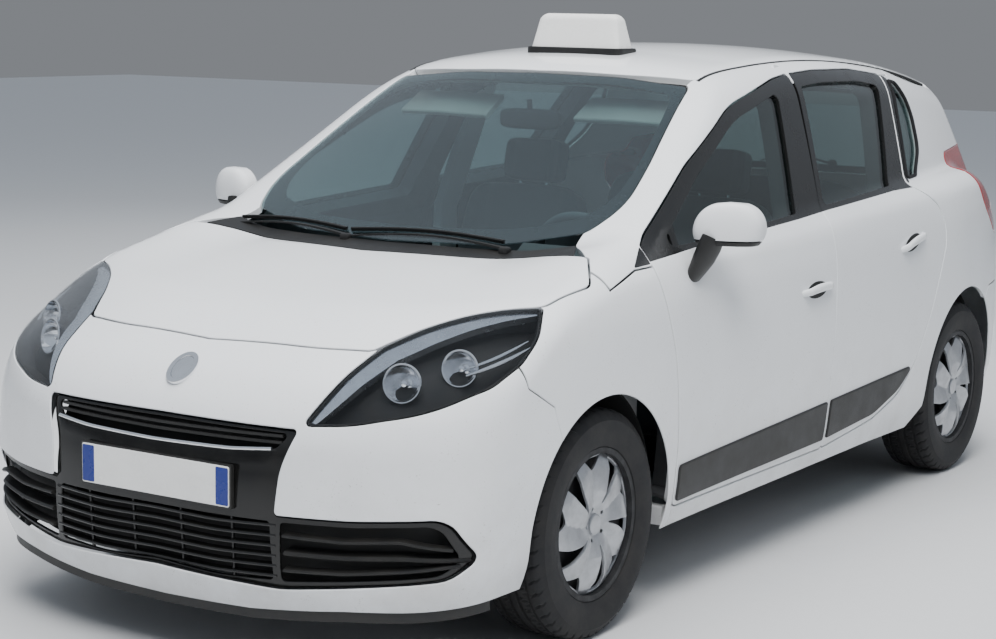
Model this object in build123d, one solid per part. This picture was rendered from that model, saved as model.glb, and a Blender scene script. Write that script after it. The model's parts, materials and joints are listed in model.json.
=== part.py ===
"""A compact white people carrier in service as a taxi cab, at real size in millimetres.

The car faces -Y, its left side is +X, Z is up and the ground is z = 0, under the middle of its length.
Every outer panel lies on one form, worked out from the short tables below, and meets its neighbours
at one panel gap. The tables and outlines are drawn on a car of the drawn sizes, and are stretched to
the sizes that follow. Pieces that come in pairs are made on the left and mirrored.
"""

from build123d import *
import math
import os

import numpy as np

# Overall sizes
WHEELBASE = 2702.0
FRONT_OVERHANG = 866.0
REAR_OVERHANG = 776.0
BODY_WIDTH = 1820.0
BODY_HEIGHT = 1620.0
TRACK = 1546.0

# Wheels and tyres
TYRE_RADIUS = 326.0
TYRE_WIDTH = 205.0
SIDEWALL = 110.0
RIM_LIP = 9.0
STUB_RADIUS = 30.0
STUB_CLEARANCE = 0.08
COVER_SPOKES = 7

# Clearances and wall thicknesses
PANEL_GAP = 6.0
NOSE_GAP = 9.0
LID_GAP = 10.0
SEAT_GAP = 0.3
SKIN = 6.0
COVER_WALL = 8.0
LID = 26.0
LID_LIP = 20.0
RAIL_WALL = 26.0
DOOR_DEPTH = 100.0
DOOR_LIP = 34.0
DOOR_INSET = 26.0
GLASS = 5.0
GLASS_SET = 12.0
FLOOR = 24.0

# How far a block is carried in from its outer face, and further than any piece reaches
INWARD = 640.0
BIG = 4000.0

# Wheel arches and their liners
FRONT_ARCH = 368.0
REAR_ARCH = 390.0
LINER_OUTER = 392.0
LINER_WALL = 5.0
LINER_DROP = 60.0
LINER_OUT = (812.0, 784.0)

# Sills, pillars and posts of the side frames
SILL_IN = (690.0, 846.0)
SILL_BASE = 236.0
SILL_TOP = 296.0
POST_OUT = 736.0
POST_TOP = 930.0
HEAD_TOP = 997.0
HEAD_OUT = 812.0
# Centre pillar's sections: y from, y to, x from, x to, z
PILLAR = [(140, 250, 690, 736, 280), (170, 285, 690, 734, 1010), (300, 350, 570, 582, 1556)]

# Floor, front legs and towers
FLOOR_Z = 230.0
FLOOR_HALF = SILL_IN[0] - SEAT_GAP
REAR_HALF = 640.0
TUNNEL_HALF = 110.0
TUNNEL_TOP = 380.0
COWL_SHELF = 940.0
SCUTTLE_HALF = 370.0
SCUTTLE_Y = -1170.0
REAR_FLOOR = 400.0
SLAM_TOP = 630.0
SLAM_HALF = 540.0
LEG_IN = 432.0
LEG_OUT = 500.0
LEG_Z = 400.0
LEG_HIGH = 110.0
LEG_FRONT = -1985.0
TOWER_X = 608.0
TOWER_RADIUS = 105.0
TOWER_LOW = 724.0
TOWER_TOP = 880.0

# Suspension: lower ball joint, strut top, and how far the stub axles reach past the wheel's middle
BALL = (735.0, FRONT_OVERHANG - (FRONT_OVERHANG + WHEELBASE + REAR_OVERHANG) / 2, 190.0)
STRUT = (602.0, BALL[1], 850.0)
SPRING_RADIUS = 62.0
SPRING_SHARE = 0.56
STUB_REACH = 66.0
CRADLE_Z = 205.0
PIN_RADIUS = 16.0
BEAM_ARM = 560.0
EXHAUST_RADIUS = 25.0
SILENCER_RADIUS = 74.0

# Wheel parts
DISC_AT = 44.0
COVER_FACE = 101.0

# Seats, dashboard and steering wheel
SEAT_HALF = 245.0
SEAT_AT = 370.0
BENCH_HALF = 560.0
BENCH_Z = REAR_FLOOR + FLOOR + SEAT_GAP
DASH_HALF = SILL_IN[0] - SEAT_GAP
WHEEL_AT = (370.0, -545.0, 940.0)
COLUMN_AXIS = (0.0, 0.9, 0.436)
WHEEL_RIM = 178.0
WHEEL_GRIP = 15.0
WHEEL_BOSS = 50.0
SHAFT_RADIUS = 11.0

# Lamps, grille, mirror and roof sign
GRILLE_SET = 7.0
LAMP_DEPTH = 40.0
LAMP_REACH = (1200.0, 2900.0)
MIRROR_AT = (938.0, -735.0, 1126.0)
MIRROR_FOOT_Z = 960.0
SIGN_AT = (0.0, 0.0, 1606.0)
SIGN_HALF = 175.0
SIGN_HIGH = 118.0
HUB_FRONT = (0, -1300, 250)
HUB_REAR = (0, 1250, 700)

# Sizes of the car that the tables were drawn on
DRAWN_WHEELBASE = 2702.0
DRAWN_FRONT = 866.0
DRAWN_REAR = 776.0
DRAWN_WIDTH = 1820.0
DRAWN_HEIGHT = 1620.0

HALF_LENGTH = (FRONT_OVERHANG + WHEELBASE + REAR_OVERHANG) / 2
FRONT_AXLE = FRONT_OVERHANG - HALF_LENGTH
REAR_AXLE = FRONT_AXLE + WHEELBASE
DRAWN_HALF = (DRAWN_FRONT + DRAWN_WHEELBASE + DRAWN_REAR) / 2
DRAWN_STATIONS = [-2 * DRAWN_HALF, -DRAWN_HALF, DRAWN_FRONT - DRAWN_HALF, DRAWN_HALF - DRAWN_REAR,
                  DRAWN_HALF, 2 * DRAWN_HALF]
STATIONS = [-2 * HALF_LENGTH, -HALF_LENGTH, FRONT_AXLE, REAR_AXLE, HALF_LENGTH, 2 * HALF_LENGTH]
WIDER = BODY_WIDTH / DRAWN_WIDTH
TALLER = BODY_HEIGHT / DRAWN_HEIGHT

# Half width of the body in plan: y, x
PLAN = [(-1900, 862), (-1600, 890), (-1306, 902), (-900, 897), (0, 903), (900, 908), (1396, 908),
        (1700, 876), (2000, 806)]
# How far the side stands in from the plan: height at a waist of 1075, offset
SIDE = [(150, -95), (220, -50), (300, -20), (450, -4), (600, 0), (750, -4), (880, -14), (980, -30),
        (1040, -48), (1110, -90)]
# Crown of the bonnet and nose on the centre line: y, z
BONNET = [(-2150, 690), (-2110, 745), (-2060, 790), (-2000, 832), (-1917, 872), (-1700, 935),
          (-1500, 978), (-1300, 1012), (-1100, 1035), (-900, 1052)]
# Line where the side turns in under the windows: y, z
WAIST = [(-1100, 1012), (-700, 1036), (200, 1078), (1000, 1112), (1600, 1130), (2200, 1140)]
# Front and rear faces on the centre line: z, y
FRONT = [(120, -2070), (180, -2122), (260, -2160), (350, -2172), (450, -2172), (550, -2165),
         (650, -2150), (720, -2120), (780, -2070), (850, -1960)]
REAR = [(180, 2105), (300, 2150), (450, 2172), (560, 2170), (640, 2150), (700, 2128), (800, 2112),
        (950, 2060), (1040, 1985), (1120, 1880)]
# Roof, windscreen and tailgate on the centre line: y, z, then z, y
ROOF = [(-500, 1440), (-300, 1538), (-150, 1576), (100, 1604), (400, 1619), (700, 1618),
        (1000, 1604), (1300, 1579), (1600, 1542), (1900, 1492)]
SCREEN = [(900, -1330), (1001, -1175), (1100, -1010), (1250, -770), (1400, -530), (1529, -300),
          (1650, -100)]
TAIL = [(950, 2112), (1050, 2078), (1200, 2012), (1350, 1946), (1500, 1880), (1600, 1836)]
# How far the windscreen sweeps back at its sides, at x = 600: z, sweep
SWEEP = [(950, 20), (1100, 38), (1250, 62), (1500, 85)]
# Height of the shoulder that runs over each wing into the pillar: y, height
SHOULDER = [(-1900, 0), (-1500, 6), (-1300, 20), (-1100, 46), (-900, 40), (-700, 0)]
# Half width of the cabin at the waist: y, x
CABIN = [(-1200, 790), (-900, 822), (-500, 838), (0, 846), (700, 846), (1100, 826), (1400, 796),
         (1700, 756), (2000, 706)]


def table(value, rows):
    """Read a short table as one smooth curve that runs on straight past its ends."""
    at, height = np.array(rows, float).T
    value = np.asarray(value, float)
    step = np.diff(at)
    chord = np.diff(height) / step
    slope = np.concatenate([[chord[0]], (chord[:-1] * step[1:] + chord[1:] * step[:-1])
                            / (step[:-1] + step[1:]), [chord[-1]]])
    span = np.clip(np.searchsorted(at, value) - 1, 0, len(at) - 2)
    run = (value - at[span]) / step[span]
    t = np.clip(run, 0, 1)
    curve = (height[span] * (2 * t**3 - 3 * t**2 + 1) + height[span + 1] * (3 * t**2 - 2 * t**3)
             + step[span] * slope[span] * (t**3 - 2 * t**2 + t)
             + step[span] * slope[span + 1] * (t**3 - t**2))
    before = np.minimum(run, 0) * step[span] * slope[span]
    after = np.maximum(run - 1, 0) * step[span] * slope[span + 1]
    return curve + before + after


def joined(a, b, radius):
    """Inside both a and b, with the edge between them rounded."""
    return np.maximum(a, b) + np.maximum(radius - np.abs(a - b), 0) ** 2 / (4 * radius)


def merged(a, b, radius):
    """Inside a or b, with the corner between them filled."""
    return np.minimum(a, b) - np.maximum(radius - np.abs(a - b), 0) ** 2 / (4 * radius)


def lower_body(x, y, z):
    """Distance outside the lower body: sides, bonnet, waist, nose and tail."""
    side = x - (table(y, PLAN) + table(z * 1075 / table(y, WAIST), SIDE))
    rise = np.clip((x - 420) / 320, 0, 1)
    shoulder = table(np.clip(y, -1900, -700), SHOULDER) * rise * rise * (3 - 2 * rise)
    bonnet = z - (table(y, BONNET) - 22 * (x / 800) ** 2.3) - shoulder
    waist = z - table(y, WAIST) - 20
    back = np.clip((y + 1150) / 200, 0, 1)
    back = back * back * (3 - 2 * back)
    top = bonnet * (1 - back) + (waist - shoulder) * back
    front = table(z, FRONT) + 290 * (x / 900) ** 2.6 - y
    rear = y - (table(z, REAR) - 215 * (x / 900) ** 2.8)
    return joined(joined(joined(side, top, 70), front, 130), rear, 110)


def cabin(x, y, z):
    """Distance outside the cabin: its sides, roof, windscreen and tail."""
    h = np.maximum(z - 1000, 0)
    side = 0.94 * (x - (table(y, CABIN) - 0.33 * h - 0.00009 * h * h))
    roof = z - (table(y, ROOF) - 45 * (x / 600) ** 2.2)
    lean = table(np.maximum(z, 950), SCREEN) + table(np.clip(z, 950, 1500), SWEEP) * (x / 600) ** 2.2
    screen = 0.53 * (lean - y)
    tail = 0.91 * (y - (table(np.maximum(z, 1000), TAIL) - 70 * (x / 600) ** 2.4))
    return joined(joined(joined(side, roof, 110), screen, 40), tail, 60)


def body(x, y, z):
    """Distance outside the lower body and cabin together."""
    return merged(lower_body(x, y, z), cabin(x, y, z), 30)


def form(x, y, z, field=body):
    """Distance outside a drawn field at a point of the car, negative inside it."""
    return field(np.abs(x) / WIDER, np.interp(y, STATIONS, DRAWN_STATIONS), z / TALLER)


def place(x, y, z):
    """Stretch a drawn point to the car's sizes."""
    return np.stack(np.broadcast_arrays(np.asarray(x, float) * WIDER,
                                        np.interp(y, DRAWN_STATIONS, STATIONS),
                                        np.asarray(z, float) * TALLER), -1)


def cast(origins, directions, inset=0.0, field=body):
    """Points where rays from inside the body reach the form, set in by the inset."""
    origins, directions = np.broadcast_arrays(origins, directions)
    near = np.zeros(origins.shape[:-1])
    far = np.full(origins.shape[:-1], 2600.0)
    directions = directions / np.linalg.norm(directions, axis=-1, keepdims=True)
    for _ in range(40):
        middle = (near + far) / 2
        inside = form(*np.moveaxis(origins + middle[..., None] * directions, -1, 0), field) < -inset
        near = np.where(inside, middle, near)
        far = np.where(inside, far, middle)
    return origins + near[..., None] * directions


def side_point(y, z, inset=0.0):
    """The body's side at a drawn y and z, left side."""
    start = place(0, y, z)
    return cast(start, np.array([1.0, 0, 0]), inset)


def surface(points):
    """One smooth face through a grid of points."""
    return Face.make_surface_from_array_of_points([[Vector(*map(float, p)) for p in row] for row in points])


def wall(points, centre, thickness):
    """A wall whose outer face passes through the points and whose thickness goes towards the centre."""
    face = surface(points)
    middle = points[points.shape[0] // 2, points.shape[1] // 2]
    return Solid.thicken(face, thickness, normal_override=Vector(*map(float, np.asarray(centre) - middle)))


def along(rows, count):
    """Evenly spaced readings of a line given by a few points."""
    rows = np.array(rows, float)
    index = np.arange(len(rows))
    at = np.linspace(0, len(rows) - 1, count)
    return np.stack([table(at, np.stack([index, column], 1)) for column in rows.T], 1)


def side_grid(lower, upper, columns, rows, inset=0.0):
    """Grid of points on the left side between a lower and an upper line, each in drawn y and z."""
    share = np.linspace(0, 1, rows)[None, :, None]
    flat = along(lower, columns)[:, None] * (1 - share) + along(upper, columns)[:, None] * share
    return side_point(flat[..., 0], flat[..., 1], inset)


def side_block(lower, upper, columns, rows, inset=0.0):
    """Everything from the left side, set in by the inset, to the car's middle."""
    face = surface(side_grid(lower, upper, columns, rows, inset))
    return solid_of(Solid.extrude(face, Vector(-INWARD, 0, 0)))


def solid_of(shape):
    """The solid with its faces turned outwards."""
    return shape if shape.volume > 0 else Solid(shape.wrapped.Reversed())


def outline(rows):
    """Closed wire in the XY plane through corners given as a, b and corner radius."""
    corners = np.array([row[:2] for row in rows], float)
    radii = [row[2] if len(row) > 2 else 0.0 for row in rows]
    count = len(corners)
    ends = []
    for i in range(count):
        corner, before, after = corners[i], corners[i - 1], corners[(i + 1) % count]
        u = (before - corner) / np.linalg.norm(before - corner)
        v = (after - corner) / np.linalg.norm(after - corner)
        half = math.acos(float(np.clip(u @ v, -1, 1))) / 2
        room = 0.48 * min(np.linalg.norm(before - corner), np.linalg.norm(after - corner))
        reach = min(radii[i] / math.tan(half), room) if radii[i] else 0.0
        if reach < 0.05:
            ends.append((corner, None, corner))
            continue
        radius = reach * math.tan(half)
        bisector = (u + v) / np.linalg.norm(u + v)
        middle = corner + bisector * (radius / math.sin(half) - radius)
        ends.append((corner + u * reach, middle, corner + v * reach))
    edges = []
    for i in range(count):
        start, middle, finish = ends[i]
        if middle is not None:
            edges.append(Edge.make_three_point_arc(tuple(start), tuple(middle), tuple(finish)))
        following = ends[(i + 1) % count][0]
        if np.linalg.norm(following - finish) > 1e-4:
            edges.append(Edge.make_line(tuple(finish), tuple(following)))
    return Wire(edges)


def grown(rows, amount):
    """The same outline moved out all round by the amount, its corners kept."""
    corners = np.array([row[:2] for row in rows], float)
    following = np.roll(corners, -1, axis=0)
    area = np.sum(corners[:, 0] * following[:, 1] - following[:, 0] * corners[:, 1])
    edge = following - corners
    edge /= np.linalg.norm(edge, axis=1, keepdims=True)
    out = np.stack([edge[:, 1], -edge[:, 0]], 1) * math.copysign(1, area)
    before = np.roll(out, 1, axis=0)
    shift = (out + before) / (1 + np.sum(out * before, axis=1))[:, None]
    moved = corners + amount * shift
    return [(float(p[0]), float(p[1]), max(row[2] + amount, 0.5) if len(row) > 2 and row[2] else 0.0)
            for p, row in zip(moved, rows)]


def drawn_side(rows):
    """A side outline given in drawn y and z, at the car's sizes."""
    return [(float(np.interp(row[0], DRAWN_STATIONS, STATIONS)), row[1] * TALLER, *row[2:]) for row in rows]


def side_prism(rows, x0, x1):
    """Prism along X over an outline in y and z."""
    face = Plane.YZ.offset(x0) * Face(outline(rows))
    return solid_of(Solid.extrude(face, Vector(x1 - x0, 0, 0)))


def top_prism(rows, z0, z1):
    """Prism along Z over an outline in x and y."""
    face = Plane.XY.offset(z0) * Face(outline(rows))
    return solid_of(Solid.extrude(face, Vector(0, 0, z1 - z0)))


def front_prism(rows, y0, y1):
    """Prism along Y over an outline in x and z."""
    face = Plane(origin=(0, y0, 0), x_dir=(1, 0, 0), z_dir=(0, -1, 0)) * Face(outline(rows))
    return solid_of(Solid.extrude(face, Vector(0, y1 - y0, 0)))


def mirrored(shape):
    """The right-hand copy of a left-hand piece."""
    return mirror(shape, about=Plane.YZ)


def block(x0, x1, y0, y1, z0, z1):
    """Box between two corners."""
    return Pos((x0 + x1) / 2, (y0 + y1) / 2, (z0 + z1) / 2) * Box(x1 - x0, y1 - y0, z1 - z0)


# Door and window outlines on the left side: drawn y, z, corner radius
FRONT_DOOR = [(-907, 302, 25), (-897, 520, 600), (-912, 740, 500), (-968, 985, 120), (-974, 1066, 12),
              (-578, 1279, 900), (-217, 1440, 700), (177, 1517, 700), (309, 1531, 12), (200, 1085, 200),
              (204, 950, 300), (150, 500, 800), (126, 304, 15)]
REAR_DOOR = [(126, 304, 15), (150, 500, 800), (204, 950, 300), (200, 1085, 200), (327, 1531, 12),
             (520, 1540, 900), (860, 1538, 900), (1146, 1513, 12), (986, 1122, 20), (1125, 1040, 110),
             (1165, 930, 120), (1085, 795, 300), (1000, 655, 400), (880, 497, 300), (735, 398, 300),
             (520, 340, 400)]
FRONT_WINDOW = [(-880, 1056, 20), (-560, 1240, 900), (-217, 1396, 700), (152, 1474, 18),
                (18, 1092, 15), (-700, 1058, 900)]
# Room behind each door's frame, which moves back a little as the door swings out
FRONT_SWING = [(270, 1440, 0), (345, 1440, 0), (345, 1531, 0), (270, 1531, 0)]
REAR_SWING = [(930, 1118, 0), (1006, 1118, 8), (1170, 1519, 8), (1090, 1519, 0)]
REAR_WINDOW = [(240, 1104, 15), (352, 1490, 18), (520, 1500, 900), (850, 1498, 900), (1040, 1478, 18),
               (826, 1132, 15)]
QUARTER_WINDOW = [(1022, 1142, 12), (1190, 1494, 15), (1258, 1486, 30), (1318, 1385, 120),
                  (1262, 1240, 150), (1128, 1147, 30)]
# Lines just outside the doors, below and above them: drawn y, z
FRONT_DOOR_SPAN = ([(-1010, 262), (200, 262)], [(-984, 1070), (-600, 1284), (-217, 1452), (100, 1516),
                                                (370, 1546)])
REAR_DOOR_SPAN = ([(80, 262), (1230, 262)], [(130, 1524), (520, 1556), (860, 1553), (1220, 1522)])
# Height of the doors' deeper lower part
DOOR_TOP = 1010.0
# Lines just outside the sill: drawn y, z
SILL_SPAN = ([(-930, 228), (600, 228)], [(-930, 440), (600, 440)])
# Grille slots: half width, lower z, upper z
GRILLE_SLOTS = [(350, 612, 650)] + [(330, 276 + 30 * row, 292 + 30 * row) for row in range(5)]

# The pillar and rail beside the windscreen and roof: its upper edge in drawn x, y, z, and its edge
# along the wing and doors in drawn y, z
RAIL_UPPER = [(792, -1240, 1016), (735, -1160, 1048), (650, -1030, 1078), (686, -860, 1155),
              (653, -646, 1277), (611, -449, 1396), (574, -236, 1505), (575, -60, 1560),
              (580, 250, 1590), (580, 600, 1600), (578, 950, 1590), (572, 1240, 1565)]
RAIL_LOWER = [(-1236, 988), (-1150, 998), (-1010, 1008), (-850, 1098), (-640, 1222), (-440, 1318),
              (-217, 1412), (-60, 1452), (250, 1498), (600, 1515), (950, 1508), (1240, 1512)]
# Targets that a panel's rays are aimed at, along its lower and its upper edge: drawn x, y, z
QUARTER_SPAN = ([(905, 520, 200), (905, 900, 200), (905, 1300, 200), (890, 1620, 200), (840, 1850, 200),
                 (740, 2040, 200), (560, 2130, 200)],
                [(720, 760, 1430), (680, 1000, 1500), (650, 1250, 1520), (620, 1450, 1510),
                 (590, 1620, 1500), (560, 1740, 1490), (500, 1820, 1480)])
WING_SPAN = ([(905, -1760, 215), (905, -1500, 215), (905, -1200, 215), (905, -860, 215)],
             [(650, -1740, 980), (730, -1500, 1010), (750, -1250, 1050), (760, -980, 1060)])
NOSE_SPAN = ([(-60, -2150, 165), (300, -2150, 170), (571, -2080, 195), (770, -1960, 205),
              (860, -1800, 215), (890, -1560, 225)],
             [(-60, -1930, 880), (340, -1930, 880), (520, -1880, 900), (720, -1800, 880),
              (860, -1700, 850), (900, -1540, 800)])
LAMP_SPAN = ([(390, -2140, 600), (600, -2080, 620), (780, -1960, 640), (880, -1780, 700),
              (905, -1600, 780), (905, -1450, 850)],
             [(390, -1930, 880), (430, -1800, 940), (500, -1690, 980), (600, -1560, 1010),
              (700, -1470, 1020), (800, -1400, 1020)])
TAIL_SPAN = ([(-60, 2160, 185), (400, 2150, 185), (700, 2060, 195), (830, 1900, 205), (880, 1700, 215),
              (905, 1540, 230)],
             [(-60, 2150, 730), (400, 2130, 730), (680, 2040, 740), (820, 1880, 740), (880, 1700, 740),
              (905, 1540, 740)])
BONNET_SPAN = ([(-40, -1985, 900), (-40, -1700, 1000), (-40, -1400, 1050), (-40, -1100, 1080)],
               [(480, -1960, 900), (700, -1700, 1000), (860, -1400, 1050), (840, -1110, 1080)])
ROOF_SPAN = ([(-620, -300, 1700), (-620, 500, 1700), (-620, 1300, 1700), (-620, 1820, 1700)],
             [(620, -300, 1700), (620, 500, 1700), (620, 1300, 1700), (620, 1820, 1700)])
SCREEN_SPAN = ([(-720, -1250, 1010), (-240, -1250, 1010), (240, -1250, 1010), (720, -1250, 1010)],
               [(-620, -240, 1540), (-200, -260, 1540), (200, -260, 1540), (620, -240, 1540)])
TAILGATE_SPAN = ([(-720, 2100, 630), (-240, 2150, 630), (240, 2150, 630), (720, 2100, 630)],
                 [(-620, 1760, 1530), (-200, 1770, 1540), (200, 1770, 1540), (620, 1760, 1530)])
COWL_SPAN = ([(-760, -1290, 990), (-300, -1290, 1000), (300, -1290, 1000), (760, -1290, 990)],
             [(-700, -1010, 1090), (-240, -1060, 1090), (240, -1060, 1090), (700, -1010, 1090)])
# Plan outlines, left half from the centre line outwards and back: drawn x, y, corner radius
BONNET_EDGE = [(0, -1930, 0), (351, -1902, 900), (497, -1866, 40), (572, -1732, 500), (640, -1637, 600),
               (715, -1564, 500), (797, -1507, 60), (822, -1306, 60), (728, -1166, 30), (503, -1150, 500),
               (365, -1196, 700), (0, -1238, 0)]
COWL_EDGE = [(0, -1300, 0), (782, -1300, 0), (622, -1056, 20), (500, -1092, 300), (300, -1120, 900),
             (0, -1132, 0)]
ROOF_EDGE = [(0, -272, 0), (300, -262, 900), (560, -214, 40), (566, 250, 2000), (566, 1000, 2000),
             (548, 1760, 30), (0, 1784, 0)]
# Front outlines, left half: drawn x, z, corner radius
SCREEN_EDGE = [(0, 1040, 0), (380, 1050, 900), (610, 1094, 60), (660, 1166, 300), (632, 1277, 900),
               (592, 1396, 900), (556, 1500, 30), (300, 1524, 1500), (0, 1529, 0)]
TAILGATE_EDGE = [(0, 652, 0), (600, 652, 60), (668, 760, 200), (676, 900, 300), (640, 1080, 500),
                 (600, 1230, 900), (548, 1478, 40), (540, 1560, 0), (0, 1560, 0)]
TAILGATE_WINDOW = [(0, 1070, 0), (560, 1070, 60), (480, 1420, 60), (0, 1440, 0)]
GRILLE_EDGE = [(0, 672, 0), (436, 670, 12), (398, 560, 200), (388, 446, 12), (590, 446, 900),
               (800, 456, 50), (848, 345, 40), (800, 292, 60), (590, 268, 600), (400, 246, 300),
               (0, 262, 0)]
# Side outlines: drawn y, z, corner radius
WING_EDGE = [(-1540, 590, 0), (-1581, 701, 0), (-1685, 768, 10), (-1690, 860, 0), (-1560, 1060, 0),
             (-1246, 1060, 0), (-1244, 974, 0), (-1150, 982, 300), (-1010, 990, 0), (-940, 990, 0),
             (-860, 700, 0), (-890, 420, 0), (-911, 330, 0), (-911, 306, 0), (-901.4, 298, 0), (-901.4, 238, 5),
             (-1306, 238, 5)]
NOSE_EDGE = [(-2300, 100, 0), (-2300, 960, 0), (-1740, 960, 0), (-1690, 764, 10), (-1581.2, 700.6, 0),
             (-1540, 590, 0), (-1540, 100, 0)]
SILL_EDGE = [(-901, 238, 6), (545, 250, 0), (545, 420, 0), (-901, 420, 0)]
QUARTER_EDGE = [(545.3, 240, 0), (900, 240, 0), (1396, 560, 0), (1575, 620, 0), (1680, 690, 30),
                (2300, 690, 0), (2300, 1600, 0), (1240.3, 1600, 0), (1240.3, 1508, 0), (1110, 1508, 0),
                (545.3, 1100, 0)]
TAIL_EDGE = [(1575, 619.6, 0), (1680, 689.6, 30), (2300, 689.6, 0), (2300, 120, 0), (1500, 120, 0)]
TAIL_LAMP = [(1790, 890, 60), (1640, 1010, 150), (1560, 1205, 40), (1930, 1225, 30), (2200, 1000, 0),
             (2200, 890, 0)]
# Headlamp outline on the left side: drawn x, y, z, corner radius; and the way it is looked at
HEADLAMP = [(443, -2089, 678, 12), (492, -1954, 804, 600), (516, -1842, 861, 60), (572, -1732, 902, 400),
            (635, -1639, 931, 500), (713, -1564, 947, 400), (797, -1509, 951, 10), (845, -1600, 885, 200),
            (852, -1690, 830, 150), (830, -1800, 778, 150), (738, -1945, 720, 500), (565, -2050, 686, 400)]
LAMP_AXIS = (0.5, -0.65, 0.55)


def door(rows, span, window):
    """One door: a lip all round, a deeper box below the window and the frame round the glass."""
    edge = grown(drawn_side(rows), -PANEL_GAP / 2)
    skin = wall(side_grid(*span, 8, 8), (0, 0, 900), DOOR_LIP) & side_prism(edge, 400, 1200)
    box_edge = grown(edge, -DOOR_INSET)
    lower = (span[0], [(y, DOOR_TOP + 20) for y, _ in span[0]])
    below = block(600, 1200, -HALF_LENGTH, HALF_LENGTH, 0, DOOR_TOP * TALLER)
    box = side_block(*lower, 7, 7, SKIN) & (side_prism(box_edge, 600, 1200) & below)
    panel = skin + (box - side_block(*lower, 7, 7, DOOR_DEPTH))
    return panel - side_prism(drawn_side(window), 400, 1200)


def pane(rows, span):
    """A side window's glass, just inside its opening."""
    edge = grown(drawn_side(rows), -SEAT_GAP)
    return wall(side_grid(*span, 8, 8, GLASS_SET), (0, 0, 900), GLASS) & side_prism(edge, 400, 1200)


def both_halves(rows):
    """A closed outline from its left half, whose first and last points are on the centre line."""
    right = [(-row[0], *row[1:]) for row in rows[-2:0:-1]]
    return list(rows) + right


def drawn_top(rows):
    """A plan outline given in drawn x and y, at the car's sizes."""
    return [(x * WIDER, float(np.interp(y, DRAWN_STATIONS, STATIONS)), r) for x, y, r in both_halves(rows)]


def drawn_front(rows):
    """A front outline given in drawn x and z, at the car's sizes."""
    return [(x * WIDER, z * TALLER, r) for x, z, r in both_halves(rows)]


def between(span, columns, rows, centre, inset=0.0, field=body):
    """Grid of points on the form, on rays from a centre (drawn x, y, z, or a function of the targets)."""
    share = np.linspace(0, 1, rows)[None, :, None]
    target = along(span[0], columns)[:, None] * (1 - share) + along(span[1], columns)[:, None] * share
    target = place(*np.moveaxis(target, -1, 0))
    start = centre(target) if callable(centre) else centre
    start = place(*np.moveaxis(np.broadcast_to(start, target.shape), -1, 0))
    return cast(start, target - start, inset, field)


def behind(share, y, z):
    """Ray starts at a share of each target's x, all at one y and z."""
    return lambda target: np.stack([share * target[..., 0], 0 * target[..., 1] + y,
                                    0 * target[..., 2] + z], -1)


def beneath(share, z):
    """Ray starts at a share of each target's x, under it at one z."""
    return lambda target: np.stack([share * target[..., 0], target[..., 1], 0 * target[..., 2] + z], -1)


def slanted_prism(rows, direction, low, high, amount=0.0):
    """Prism along a slanting direction over an outline in drawn x, y, z and corner radius, moved out."""
    plane = Plane(origin=(0, 0, 0), x_dir=(direction[1], -direction[0], 0), z_dir=direction)
    flat = []
    for x, y, z, radius in rows:
        local = plane.to_local_coords(Vector(*map(float, place(x, y, z))))
        flat.append((local.X, local.Y, radius))
    face = plane.offset(low) * Face(outline(grown(flat, amount)))
    return solid_of(Solid.extrude(face, plane.z_dir * (high - low)))


def disc(x0, x1, y, z, radius):
    """Cylinder along X."""
    return Plane.YZ.offset(x0) * Pos(y, z, 0) * Cylinder(radius, x1 - x0, align=(Align.CENTER, Align.CENTER,
                                                                                Align.MIN))


def rod(start, finish, radius):
    """Round bar between two points."""
    start, finish = Vector(*start), Vector(*finish)
    plane = Plane(origin=start, z_dir=finish - start)
    return plane * Cylinder(radius, (finish - start).length, align=(Align.CENTER, Align.CENTER, Align.MIN))


def across(half):
    """The piece whose left half this is, joined on the centre line."""
    left = half & block(0, BODY_WIDTH, -BIG, BIG, -BIG, BIG)
    return left + mirrored(left)


def pair(left):
    """A left-hand piece and its right-hand copy as one node."""
    return Compound(children=[*left.solids(), *mirrored(left).solids()])


def arch(radius, x0=400.0, x1=1200.0, axle=None):
    """Round space of a wheel arch, left side."""
    return disc(x0, x1, FRONT_AXLE if axle is None else axle, TYRE_RADIUS, radius)


# Outer panels

def side_frame():
    """Pillars, roof rail and sill of the left side, joined as one frame."""
    def spine(target):
        return np.stack([0 * target[..., 0], 0.7 * target[..., 1], 0 * target[..., 2] + 850], -1)

    lower = [(float(side_point(y, z)[0]), y, z) for y, z in RAIL_LOWER]
    rail = wall(between((lower, RAIL_UPPER), 13, 5, spine), (0, 0, 900), RAIL_WALL)
    rail = rail - top_prism(grown(drawn_top(BONNET_EDGE), PANEL_GAP), 500, BODY_HEIGHT)
    rail = rail - top_prism(grown(drawn_top(ROOF_EDGE), SEAT_GAP), 1300, BODY_HEIGHT + 100)
    sill = wall(side_grid(*SILL_SPAN, 8, 5), (0, 0, 260), RAIL_WALL)
    sill = sill & side_prism(drawn_side(SILL_EDGE), 400, 1200)
    for rows in (FRONT_DOOR, REAR_DOOR, FRONT_SWING):
        opening = side_prism(grown(drawn_side(rows), PANEL_GAP / 2), 400, 1200)
        rail = rail - opening
        sill = sill - opening
    x0, x1 = SILL_IN
    y0, y1 = drawn_y(SILL_EDGE[0][0]), drawn_y(SILL_EDGE[1][0])
    box = block(x0, x1, y0, y1, SILL_BASE, SILL_TOP)
    post = block(x0, POST_OUT, drawn_y(-1000), drawn_y(-862), SILL_BASE, POST_TOP)
    head = block(x0, HEAD_OUT, drawn_y(-1045), drawn_y(-985), POST_TOP - 60, HEAD_TOP)
    front = (post + head) - arch(LINER_OUTER + LINER_WALL + PANEL_GAP)
    levels = [section(px0, px1, drawn_y(py0), drawn_y(py1), z * TALLER) for py0, py1, px0, px1, z in PILLAR]
    pillar = loft(levels[:2], ruled=True) + loft(levels[1:], ruled=True)
    return rail + sill + box + front + pillar


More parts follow.
